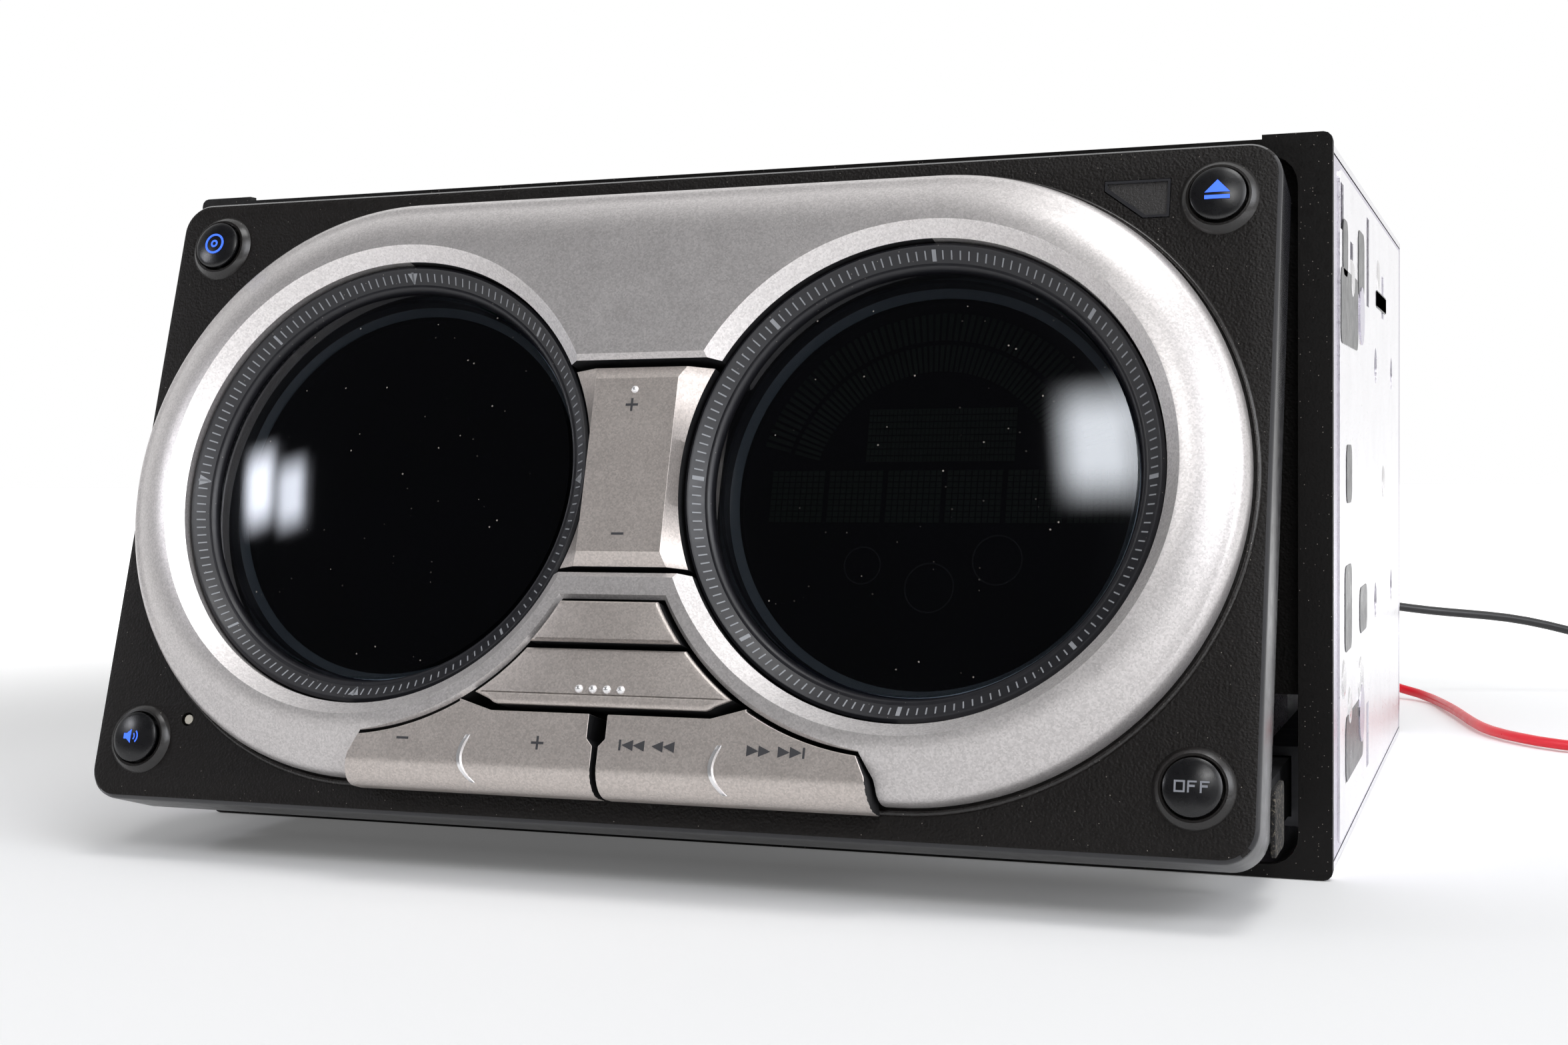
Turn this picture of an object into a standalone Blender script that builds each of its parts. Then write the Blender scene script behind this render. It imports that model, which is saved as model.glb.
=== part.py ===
"""Car stereo head unit: a double height disc player whose front panel tilts
forward on a motor driven carriage. Lengths are in metres, +Z is up, and the
front faces -Y. The origin is the centre of the underside of the bottom plate."""
import math
import bmesh
import bpy
from mathutils import Matrix, Vector

# General clearances and sheet
GAP = 0.0003
SHEET = 0.001
SOFT_EDGE = 0.0007
CUT_OVERRUN = 0.002

# Front frame
FACE_Y = -0.077
FRAME_HALF = 0.089
FRAME_HEIGHT = 0.0994
FRAME_THICK = 0.0016
FRAME_CORNER = 0.0012
LUG_WIDTH = 0.0092
LUG_RISE = 0.0006
FRAME_RIM = 0.0045
FRAME_TOP_RIM = 0.0022
OPENING_HALF = FRAME_HALF - FRAME_RIM
OPENING_LOW = 0.0018
OPENING_HIGH = FRAME_HEIGHT - FRAME_TOP_RIM
OPENING_RADIUS = 0.004
SLEEVE_WALL = 0.0014
SLEEVE_DEPTH = 0.0062

# Chassis
SCREW_HEAD_THICK = 0.0006
CHASSIS_DROP = 0.0001
CHASSIS_HALF = FRAME_HALF - SCREW_HEAD_THICK
CHASSIS_LENGTH = 0.150
CHASSIS_TOP = FRAME_HEIGHT - CHASSIS_DROP
CHASSIS_FRONT = FACE_Y + FRAME_THICK + GAP
CHASSIS_BACK = CHASSIS_FRONT + CHASSIS_LENGTH
WALL_LOW = SHEET + GAP
WALL_HIGH = CHASSIS_TOP - SHEET - GAP
WALL_INNER = CHASSIS_HALF - SHEET
ROOM_HALF = WALL_INNER - GAP
BOLT_RADIUS = 0.0026
BOLT_DEPTH_FROM = 0.082
BOLT_PITCH_Y = 0.040
BOLT_PITCH_Z = 0.040
BOLT_RISE = 0.00235
BOLT_LOW = CHASSIS_TOP / 2 - BOLT_PITCH_Z / 2 + BOLT_RISE
SCREW_FACE_DEPTH = 0.050
SCREW_LOW = 0.0165
SCREW_TOP_GAP = 0.0208
SCREW_HIGH = CHASSIS_TOP - SCREW_TOP_GAP
SCREW_HEAD = 0.0045
SLOT_WIDE = 0.0052
SLOT_TALL = 0.0075
SLOT_SHORT = 0.0065
SLOT_TOP_GAP = 0.0028
SLOT_STEP_DOWN = 0.0068
SLOT_DEPTHS = (0.015, 0.031, 0.062)
NOTCH_DEPTH = 0.0058
NOTCH_WIDE = 0.0011
NOTCH_TALL = 0.0022
NOTCH_LOW = 0.037
LOW_SLOT_DEPTH = 0.0235
LOW_SLOT_LOW = 0.0095
VENT_LONG = 0.030
VENT_WIDE = 0.003
VENT_STEP = 0.008
VENT_DEPTH_FROM = 0.100

# Inner fascia with the two loading slots
FASCIA_DEPTH = 0.0082
FASCIA_THICK = 0.0015
FASCIA_LOW = 0.024
CD_SLOT_HALF = 0.0613
CD_SLOT_DROP = 0.0178
CD_SLOT_TALL = 0.0056
CD_SLOT_LOW = CHASSIS_TOP - CD_SLOT_DROP
CD_SLOT_HIGH = CD_SLOT_LOW + CD_SLOT_TALL
MD_SLOT_HALF = 0.0365
MD_SLOT_DROP = 0.0229
MD_SLOT_TALL = 0.0068
MD_SLOT_LOW = CD_SLOT_LOW - MD_SLOT_DROP
MD_SLOT_HIGH = MD_SLOT_LOW + MD_SLOT_TALL

# Deck brackets and decks
BRACKET_CLEAR = 0.005
BRACKET_INNER = CD_SLOT_HALF + BRACKET_CLEAR
BRACKET_FRONT = 0.012
BRACKET_STEP_DEPTH = 0.040
BRACKET_STEP_DROP = 0.0136
BRACKET_STEP_HIGH = MD_SLOT_LOW - BRACKET_STEP_DROP
BRACKET_BACK = 0.142
BRACKET_TIE_RISE = 0.0006
BRACKET_TIE_LOW = MD_SLOT_HIGH + BRACKET_TIE_RISE
BRACKET_TIE_DROP = 0.0053
BRACKET_TIE_HIGH = CHASSIS_TOP - BRACKET_TIE_DROP
DECK_HALF = BRACKET_INNER - GAP
DECK_BACK = BRACKET_BACK - SHEET - GAP
CD_PLATE_DROP = 0.011
CD_PLATE_LOW = CD_SLOT_LOW - CD_PLATE_DROP
CD_COVER_DROP = 0.0038
CD_COVER_LOW = CHASSIS_TOP - CD_COVER_DROP
MD_PLATE_DROP = 0.0096
MD_PLATE_LOW = MD_SLOT_LOW - MD_PLATE_DROP
MD_COVER_RISE = 0.0008
MD_COVER_LOW = MD_SLOT_HIGH + MD_COVER_RISE
MD_DECK_BACK = 0.100
MD_GUIDE_THICK = 0.0015
MD_MOTOR_RADIUS = 0.008
MD_MOTOR_THICK = 0.004
MD_HUB_RADIUS = 0.006
MD_HUB_THICK = 0.0026
MD_SPINDLE_DEPTH = 0.048
MD_PICKUP_FROM = 0.0125
MD_PICKUP_WIDE = 0.012
MD_PICKUP_LONG = 0.018
MD_PICKUP_TALL = 0.0055
MD_ROD_SPREAD = 0.006
MD_ROD_RADIUS = 0.001
MD_ROD_HEIGHT = 0.0033
MD_ROD_END = MD_SLOT_HALF - GAP
MD_ROD_START = 0.0090
MD_HOLDER_WIDE = 0.0025

# Disc drive
SPINDLE_DEPTH = 0.078
SPINDLE_MOTOR_RADIUS = 0.012
SPINDLE_MOTOR_THICK = 0.0042
TURNTABLE_RADIUS = 0.0145
TURNTABLE_THICK = 0.0046
TURNTABLE_BOSS = 0.0074
TURNTABLE_BOSS_RISE = 0.0004
CLAMP_RADIUS = 0.0145
CLAMP_THICK = 0.0030
CLAMP_STEM = 0.003
CLAMP_STEM_RISE = 0.0018
CLAMP_ARM_HALF = 0.009
CLAMP_ARM_THICK = 0.001
CLAMP_PIVOT_DEPTH = 0.134
CLAMP_PIVOT_RISE = 0.0047
CLAMP_PIVOT_HEIGHT = CD_SLOT_HIGH + CLAMP_PIVOT_RISE
CLAMP_PIVOT_RADIUS = 0.0015
CLAMP_POST_WIDE = 0.004
ROLLER_DEPTH = 0.024
ROLLER_RADIUS = 0.0038
ROLLER_SHAFT = 0.0015
ROLLER_HALF = 0.058
PICKUP_FROM = 0.0215
PICKUP_WIDE = 0.016
PICKUP_LONG = 0.030
PICKUP_TALL = 0.0065
PICKUP_LENS = 0.0025
PICKUP_LENS_RISE = 0.0006
ROD_SPREAD = 0.010
ROD_RADIUS = 0.0015
ROD_HEIGHT = 0.0038
ROD_START = 0.0165
HOLDER_WIDE = 0.003
HOLDER_MARGIN = 0.0022

# Circuit board, its parts and the rear sockets
BOARD_LOW = 0.022
BOARD_THICK = 0.0016
BOARD_FRONT = 0.046
BOARD_ROOM = MD_PLATE_LOW - BOARD_LOW - BOARD_THICK
TUNER_TALL_SHARE = 0.51
TUNER_SIZE = (0.034, 0.040, BOARD_ROOM * TUNER_TALL_SHARE)
TUNER_AT = (-0.058, 0.060)
CAN_RADIUS = 0.0085
CAN_CLEAR = 0.0034
CAN_TALL = BOARD_ROOM - CAN_CLEAR
CAN_AT = (0.002, 0.066)
AMP_SIZE = (0.030, 0.0045, 0.016)
SINK_HALF = 0.030
SINK_INSET = 0.0384
SINK_MID = -CHASSIS_HALF + SINK_INSET
AMP_SHIFT = 0.002
AMP_LEFT = SINK_MID + AMP_SHIFT
SINK_LOW = 0.030
SINK_DROP = 0.0213
SINK_HIGH = CHASSIS_TOP - SINK_DROP
SINK_BASE = 0.003
FIN_DEEP = 0.010
FIN_THICK = 0.0012
FIN_COUNT = 9
PLUG_INSET = 0.0384
PLUG_MID = CHASSIS_HALF - PLUG_INSET
PLUG_HALF = 0.0125
PLUG_LOW = BOARD_LOW + BOARD_THICK + GAP
PLUG_TALL = 0.014
PLUG_HIGH = PLUG_LOW + PLUG_TALL
SOCKET_DEEP = 0.014
SOCKET_WALL = 0.0015
PLUG_REACH = 0.012
PLUG_LATCH = 0.002
JACK_MID = 0.006
JACK_RADIUS = 0.0052
JACK_BORE = 0.0023
JACK_DEEP = 0.018
JACK_OUT = 0.004
JACK_HEIGHT = 0.0308

# Carriage, its rails and drive
PIVOT_Y = -0.09596
PIVOT_Z = 0.0106
PANEL_CLEAR = 0.0006
PANEL_HALF = OPENING_HALF - PANEL_CLEAR
ARM_INSET = 0.0019
ARM_THICK = 0.003
ARM_OUTER = PANEL_HALF - ARM_INSET
ARM_INNER = ARM_OUTER - ARM_THICK
ARM_LOW = 0.0066
ARM_HIGH = 0.0146
ARM_BACK_DEPTH = 0.108
ARM_NOSE = 0.004
BAR_AHEAD = 0.0055
BAR_THICK = 0.003
RAIL_FRONT = 0.012
RAIL_BACK = 0.144
RAIL_LIP = 0.0013
PIN_RADIUS = 0.002
PIN_HOLE = PIN_RADIUS + GAP
TILT_MOTOR_RADIUS = 0.0044
TILT_MOTOR_LONG = 0.042
TILT_MOTOR_INSET = 0.0038
RACK_FRONT = -0.006
RACK_BACK = 0.103
RACK_BASE = 0.0012
TOOTH_PITCH = 0.0025133
TOOTH_TALL = 0.0013
TOOTH_RELIEF = 0.0001
TOOTH_ROOT_SHARE = 0.46
TOOTH_TIP_SHARE = 0.20
RACK_LOW = 0.0078
RACK_HIGH = 0.0132
PINION_TEETH = 15
PINION_DEPTH = 0.027
TIP_CLEARANCE = 0.0005
SHAFT_RADIUS = 0.0012
MOTOR_RADIUS = 0.0095
MOTOR_CLEAR = 0.0124
MOTOR_TALL = MD_PLATE_LOW - ARM_HIGH - MOTOR_CLEAR
MOTOR_PLATE_DEPTH = 0.017
MOTOR_PLATE_LONG = 0.020

# Front panel: (u, v, w) is right, up and out from the ring plane
TILT_DEG = 16.65
PIVOT_V = -0.040
PIVOT_W = -0.0202
PANEL_LOW = -0.0469
PANEL_HIGH = 0.0457
PANEL_RADIUS = 0.0045
PANEL_EDGE = 0.0007
PANEL_FACE = -0.003
PANEL_WALL = 0.0025
PANEL_SIDE = 0.0018
PANEL_BACK = -0.015
COVER_THICK = 0.0017
COVER_FACE = PANEL_BACK + COVER_THICK
BEZEL_INSET = 0.00218
BEZEL_BAND = 0.0099
COLUMN_HALF = 0.00702
BORE_RADIUS = (PANEL_HALF - BEZEL_INSET - BEZEL_BAND - COLUMN_HALF) / 2
BEZEL_RADIUS = BORE_RADIUS + BEZEL_BAND
RING_HALF = BORE_RADIUS + COLUMN_HALF
SHELL_LEDGE = 0.0033
SHELL_BORE = BORE_RADIUS - SHELL_LEDGE
EAR_INSET = 0.0022
EAR_THICK = 0.003
EAR_OUTER = ARM_INNER - EAR_INSET
EAR_INNER = EAR_OUTER - EAR_THICK
TILT_MOTOR_RIGHT = EAR_INNER - TILT_MOTOR_INSET
TILT_MOTOR_LEFT = TILT_MOTOR_RIGHT - TILT_MOTOR_LONG
EAR_RADIUS = 0.004
POST_RADIUS = 0.0025
POST_INSET = 0.0064
POST_U = PANEL_HALF - POST_INSET
POST_V = 0.024
BOARD_FACE = -0.0095
BOARD_INSET = 0.0044
BOARD_HALF = PANEL_HALF - BOARD_INSET
BOARD_UP = 0.0415
BOARD_DOWN = -0.0425

# Key column, stacked up from the bezel's lower edge
TRACK_BELOW = 0.0013
TRACK_TALL = 0.0106
KEY_STEP = 0.0009
SOURCE_TALL = 0.0077
MODE_STEP = 0.00075
MODE_TALL = 0.00555
ZONE_STEP = 0.00055
BRIDGE_TALL = 0.00365
TRACK_LOW = -BEZEL_RADIUS - TRACK_BELOW
TRACK_TOP = TRACK_LOW + TRACK_TALL
SOURCE_LOW = TRACK_TOP + KEY_STEP
SOURCE_TOP = SOURCE_LOW + SOURCE_TALL
MODE_LOW = SOURCE_TOP + MODE_STEP
MODE_TOP = MODE_LOW + MODE_TALL
KEY_ZONE_TOP = MODE_TOP + ZONE_STEP
KEY_GAP_LOW = KEY_ZONE_TOP + BRIDGE_TALL
VOLUME_LOW = KEY_GAP_LOW + KEY_STEP
KEY_GAP_TOP = 0.0160
VOLUME_TOP = KEY_GAP_TOP - KEY_STEP - KEY_STEP / 6

# Silver bezel
BEZEL_BASE = PANEL_FACE + GAP
BEZEL_FACE = 0.004
BEZEL_ROUND = 0.0079
BEZEL_SQUASH_SHARE = 0.79
BORE_LEDGE = 0.0016
BORE_FLARE_SHARE = 0.76
KEY_GAP_BEVEL = 0.0008
ARC_LEDGE = 0.0041
ARC_RADIUS = BORE_RADIUS + ARC_LEDGE
ARC_END_DEG = 264.0
ZONE_SIDE_INSET = 0.00202
ZONE_FOOT_INSET = 0.00122
ZONE_SIDE = RING_HALF - ZONE_SIDE_INSET
ZONE_FOOT = RING_HALF - ZONE_FOOT_INSET
ZONE_SIDE_RISE = 0.0041
ZONE_SIDE_V = TRACK_LOW + ZONE_SIDE_RISE

# Dial rings, lenses and displays
RING_OUTER = BORE_RADIUS - GAP
RING_TOP = 0.0009
RING_CHAMFER = 0.0007
RING_BREAK = BORE_RADIUS - RING_CHAMFER
TICK_BAND = 0.0031
TICK_INNER = BORE_RADIUS - TICK_BAND
TICK_DROP = -0.0006
RING_BAND = 0.0038
RING_INNER = BORE_RADIUS - RING_BAND
RING_LIP = -0.0024
RING_BACK = PANEL_FACE + GAP
LENS_RADIUS = RING_INNER - GAP
LENS_EDGE = -0.0012
LENS_RISE = 0.0034
LENS_THICK = 0.0018
GLASS_INSET = 0.0005
GLASS_RADIUS = LENS_RADIUS - GLASS_INSET
GLASS_FACE = -0.0072

# Keys of the centre column
KEY_SIDE_GAP = 0.0006
KEY_LIFT = 0.0012
KEY_BACK = PANEL_FACE + KEY_LIFT
KEY_STEM_BACK = -0.0083
VOLUME_FACE = 0.0039
VOLUME_HALF = 0.0061
KEY_GAP_SPREAD_DEG = 32
TRACK_TURN_DEG = 1
VOLUME_FLARE_SHARE = 0.9
VOLUME_END_DROP = 0.0010
VOLUME_END_LONG = 0.0018
MODE_FACE = 0.0052
SOURCE_FACE = 0.0045
SHOULDER_RISE = 0.0015
SOURCE_SHOULDER = SOURCE_LOW + SHOULDER_RISE
SOURCE_FOOT = 0.0150
TRACK_FACE = 0.0041
TRACK_ROUND = 0.0040
TRACK_END_INSET = 0.00262
TRACK_END = RING_HALF - TRACK_END_INSET
TRACK_INNER = 0.0013
TRACK_SEAM = 0.0004
TRACK_SEAM_RISE = 0.0064
TRACK_SEAM_V = TRACK_LOW + TRACK_SEAM_RISE
TRACK_SHOULDER = 0.0206
TRACK_SHOULDER_RISE = 0.0014
TRACK_SHOULDER_V = TRACK_TOP + TRACK_SHOULDER_RISE
RIDGE_AT = 0.018
KEY_EDGE = 0.0005
STEM_HALF = 0.0022
STRAIGHT_STEMS = (2, 3)

# Corner buttons and small panel pieces
CORNER_INSET = 0.00785
CORNER_U = PANEL_HALF - CORNER_INSET
CORNER_V = 0.0381
DISH_RADIUS = 0.0051
DISH_FLOOR = 0.0040
DISH_TOP = -0.0023
DISH_TOP_SHARE = 0.94
BUTTON_RADIUS = 0.0036
BUTTON_FACE = -0.0009
BUTTON_DOME = 0.0004
BUTTON_FLAT_SHARE = 0.75
BUTTON_STEM = 0.0024
BUTTON_STEM_HOLE = BUTTON_STEM + GAP
WINDOW_INSET = 0.0141
WINDOW_LONG = 0.0088
WINDOW_RIGHT = PANEL_HALF - WINDOW_INSET
WINDOW_LEFT = WINDOW_RIGHT - WINDOW_LONG
WINDOW_LOW = 0.0357
WINDOW_HIGH = 0.0412
WINDOW_CUT_U = 0.0052
WINDOW_CUT_V = 0.0040
WINDOW_DEEP = 0.0005
RESET_INSET = 0.0154
RESET_U = -PANEL_HALF + RESET_INSET
RESET_V = -0.0350
RESET_RADIUS = 0.0007
RESET_HOLE = RESET_RADIUS + GAP

# Supply leads behind the unit
LEAD_RADIUS = 0.0010
LEAD_POINTS = 34
LEAD_SPREAD = 0.005
LEAD_START_Y = CHASSIS_BACK + SHEET + PLUG_REACH + GAP
LEAD_START_Z = (PLUG_LOW + PLUG_HIGH) / 2
LEAD_REST = LEAD_RADIUS + GAP
RED_PATH = (
    (PLUG_MID + LEAD_SPREAD, LEAD_START_Y, LEAD_START_Z),
    (0.0580, 0.0980, 0.0300),
    (0.0660, 0.1180, 0.0190),
    (0.0790, 0.1340, 0.0050),
    (0.0910, 0.1290, LEAD_REST),
    (0.0975, 0.1070, LEAD_REST),
    (0.1050, 0.0760, LEAD_REST),
    (0.1140, 0.0610, LEAD_REST),
    (0.1230, 0.0540, LEAD_REST),
    (0.1330, 0.0500, LEAD_REST),
)
BLACK_PATH = (
    (PLUG_MID - LEAD_SPREAD, LEAD_START_Y, LEAD_START_Z),
    (0.0480, 0.1010, 0.0310),
    (0.0640, 0.1260, 0.0250),
    (0.0880, 0.1450, 0.0200),
    (0.1120, 0.1540, 0.0170),
    (0.1330, 0.1580, 0.0110),
    (0.1480, 0.1600, 0.0030),
    (0.1600, 0.1610, LEAD_REST),
)

PLATE_XY = Matrix.Identity(4)
PLATE_YZ = Matrix(((0, 0, 1, 0), (1, 0, 0, 0), (0, 1, 0, 0), (0, 0, 0, 1)))
PLATE_XZ = Matrix.Rotation(math.radians(90), 4, "X")
ALONG_X = Matrix.Rotation(math.radians(90), 4, "Y")
ALONG_Y = Matrix.Rotation(math.radians(90), 4, "X")
ALONG_Z = Matrix.Identity(4)

SILVER = ((0.62, 0.61, 0.63), 0.35, 0.8)
BLACK = ((0.025, 0.023, 0.022), 0.55, 0.0)
GLOSS = ((0.006, 0.006, 0.008), 0.08, 0.0)
STEEL = ((0.78, 0.77, 0.79), 0.28, 1.0)
GREEN = ((0.03, 0.16, 0.06), 0.45, 0.0)
RUBBER = ((0.03, 0.03, 0.03), 0.85, 0.0)
IVORY = ((0.82, 0.80, 0.74), 0.5, 0.0)
ALLOY = ((0.70, 0.71, 0.72), 0.4, 1.0)
RED = ((0.75, 0.01, 0.03), 0.45, 0.0)

# Outlines are filled at this many times their size, where the fill is exact
FILL_SCALE = 1000

PARTS = None
TOOLS = None


def back(depth):
    """The y of a place this far behind the front frame's face."""
    return FACE_Y + depth


def material(name, look):
    """A Principled material with this colour, roughness and metallic value."""
    mat = bpy.data.materials.new(name)
    mat.use_nodes = True
    shader = mat.node_tree.nodes["Principled BSDF"]
    shader.inputs["Base Color"].default_value = (*look[0], 1.0)
    shader.inputs["Roughness"].default_value = look[1]
    shader.inputs["Metallic"].default_value = look[2]
    return mat


def add(name, mesh, look, parent=None, spot=(0, 0, 0)):
    """Put a mesh in the scene as a piece, or as a cutter where look is None."""
    obj = bpy.data.objects.new(name, mesh)
    obj.location = spot
    if parent is not None:
        obj.parent = parent
    if look is None:
        obj.hide_render = True
        obj.display_type = "WIRE"
        TOOLS.objects.link(obj)
    else:
        mesh.materials.append(material(name, look))
        PARTS.objects.link(obj)
    return obj


def to_mesh(name, bm, turn, origin):
    """Turn the shape, bring its origin to this place and write the mesh."""
    bmesh.ops.transform(bm, matrix=Matrix.Translation(-Vector(origin)) @ turn, verts=bm.verts)
    mesh = bpy.data.meshes.new(name)
    bm.to_mesh(mesh)
    bm.free()
    return mesh


def smooth(obj, angle=35):
    """Shade smooth except across the sharp edges."""
    obj.data.shade_smooth()
    obj.data.set_sharp_from_angle(angle=math.radians(angle))
    return obj


def bevel(obj, width, segments=1):
    """Break the sharp edges."""
    mod = obj.modifiers.new("edges", "BEVEL")
    mod.width = width
    mod.segments = segments
    mod.limit_method = "ANGLE"
    mod.angle_limit = math.radians(40)
    return obj


def combine(target, tool, how):
    """Boolean of the target with a tool object."""
    mod = target.modifiers.new(how.lower(), "BOOLEAN")
    mod.operation = how
    mod.object = tool
    return target


def box(name, low, high, look, parent=None, edge=None, origin=(0, 0, 0), shift=(0, 0, 0)):
    """A block between two corners."""
    low = Vector(low)
    high = Vector(high)
    bm = bmesh.new()
    bmesh.ops.create_cube(bm, size=1)
    bmesh.ops.scale(bm, vec=high - low, verts=bm.verts)
    bmesh.ops.translate(bm, vec=(high + low) / 2, verts=bm.verts)
    mesh = to_mesh(name, bm, PLATE_XY, origin)
    obj = add(name, mesh, look, parent, Vector(origin) + Vector(shift))
    if edge:
        bevel(obj, edge)
    return obj


def rod(name, spot, radius, low, high, turn, look, parent=None, segments=24, shift=(0, 0, 0)):
    """A cylinder whose origin is at spot, from low to high along its axis."""
    bm = bmesh.new()
    bmesh.ops.create_cone(
        bm, cap_ends=True, segments=segments, radius1=radius, radius2=radius, depth=high - low)
    bmesh.ops.translate(bm, vec=(0, 0, (high + low) / 2), verts=bm.verts)
    mesh = to_mesh(name, bm, turn, (0, 0, 0))
    return smooth(add(name, mesh, look, parent, Vector(spot) + Vector(shift)))


def turned(name, profile, look, spot=(0, 0, 0), parent=None, steps=48, closed=False, turn=None):
    """A turned shape: a profile of (radius, height) with a Screw modifier."""
    bm = bmesh.new()
    points = [bm.verts.new((radius, 0, height)) for radius, height in profile]
    for first, second in zip(points, points[1:]):
        bm.edges.new((first, second))
    if closed:
        bm.edges.new((points[-1], points[0]))
    mesh = to_mesh(name, bm, ALONG_Z, (0, 0, 0))
    obj = add(name, mesh, look, parent, spot)
    if turn is not None:
        obj.rotation_euler = turn.to_euler()
    mod = obj.modifiers.new("turn", "SCREW")
    mod.axis = "Z"
    mod.angle = math.radians(360)
    mod.screw_offset = 0
    mod.steps = steps
    mod.render_steps = steps
    mod.use_merge_vertices = True
    mod.merge_threshold = 0.00001
    mod.use_smooth_shade = True
    return obj


def outline(name, loops, low, high, look, turn=PLATE_XY, parent=None, origin=(0, 0, 0),
            shift=(0, 0, 0)):
    """A flat outline with its holes, filled and thickened from low to high."""
    curve = bpy.data.curves.new(name + "_outline", "CURVE")
    curve.dimensions = "2D"
    curve.fill_mode = "BOTH"
    curve.extrude = FILL_SCALE * (high - low) / 2
    for loop in loops:
        spline = curve.splines.new("POLY")
        spline.points.add(len(loop) - 1)
        for point, (across, up) in zip(spline.points, loop):
            point.co = (FILL_SCALE * across, FILL_SCALE * up, 0, 1)
        spline.use_cyclic_u = True
    holder = bpy.data.objects.new(name + "_outline", curve)
    PARTS.objects.link(holder)
    graph = bpy.context.evaluated_depsgraph_get()
    flat = bpy.data.meshes.new_from_object(holder.evaluated_get(graph))
    bpy.data.objects.remove(holder)
    bm = bmesh.new()
    bm.from_mesh(flat)
    bpy.data.meshes.remove(flat)
    bmesh.ops.remove_doubles(bm, verts=bm.verts, dist=FILL_SCALE * GAP / 100)
    bmesh.ops.scale(bm, vec=Vector((1, 1, 1)) / FILL_SCALE, verts=bm.verts)
    bmesh.ops.recalc_face_normals(bm, faces=bm.faces)
    bmesh.ops.translate(bm, vec=(0, 0, (high + low) / 2), verts=bm.verts)
    mesh = to_mesh(name, bm, turn, origin)
    return add(name, mesh, look, parent, Vector(origin) + Vector(shift))


def arc(middle, radius, start, end, steps):
    """Points along an arc, angles in degrees."""
    points = []
    for step in range(steps + 1):
        angle = math.radians(start + (end - start) * step / steps)
        points.append((middle[0] + radius * math.cos(angle), middle[1] + radius * math.sin(angle)))
    return points


def circle(middle, radius, steps=24):
    """A closed circle of points."""
    return arc(middle, radius, 0, 360 - 360 / steps, steps - 1)


def rectangle(left, right, low, high, radius=0, steps=5):
    """A rectangle, with rounded corners where radius is given."""
    if not radius:
        return [(left, low), (right, low), (right, high), (left, high)]
    points = arc((right - radius, low + radius), radius, 270, 360, steps)
    points += arc((right - radius, high - radius), radius, 0, 90, steps)
    points += arc((left + radius, high - radius), radius, 90, 180, steps)
    points += arc((left + radius, low + radius), radius, 180, 270, steps)
    return points


def mirrored(points):
    """The same points on the other side of the middle, in reverse order."""
    return [(-across, up) for across, up in reversed(points)]


def build_front_frame():
    """The black plastic frame, its lugs and the sleeve that enters the chassis."""
    lug = FRAME_HALF - LUG_WIDTH
    top = FRAME_HEIGHT + LUG_RISE
    right = [(0, FRAME_HEIGHT), (lug, FRAME_HEIGHT), (lug, top)]
    right += arc((FRAME_HALF - FRAME_CORNER, top - FRAME_CORNER), FRAME_CORNER, 90, 0, 3)
    right += arc((FRAME_HALF - FRAME_CORNER, FRAME_CORNER), FRAME_CORNER, 0, -90, 3)
    edge = right + mirrored(right)[:-1]
    hole = rectangle(-OPENING_HALF, OPENING_HALF, OPENING_LOW, OPENING_HIGH, OPENING_RADIUS)
    frame = outline("front_frame", [edge, hole], -FACE_Y - FRAME_THICK, -FACE_Y, BLACK, PLATE_XZ)
    reach = OPENING_HALF + SLEEVE_WALL
    rim = rectangle(
        -reach, reach, OPENING_LOW / 2, OPENING_HIGH + SLEEVE_WALL / 2, OPENING_RADIUS)
    low = -FACE_Y - FRAME_THICK - SLEEVE_DEPTH
    sleeve = outline("sleeve_tool", [rim, hole], low, -FACE_Y - FRAME_THICK / 2, None, PLATE_XZ)
    trim = box(
        "sleeve_trim_tool",
        (-FRAME_HALF, FACE_Y + FRAME_THICK, -FRAME_HEIGHT),
        (FRAME_HALF, FACE_Y + FRAME_THICK + SLEEVE_DEPTH + CUT_OVERRUN, OPENING_LOW + GAP), None)
    combine(sleeve, trim, "DIFFERENCE")
    combine(frame, sleeve, "UNION")
    return frame


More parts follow.
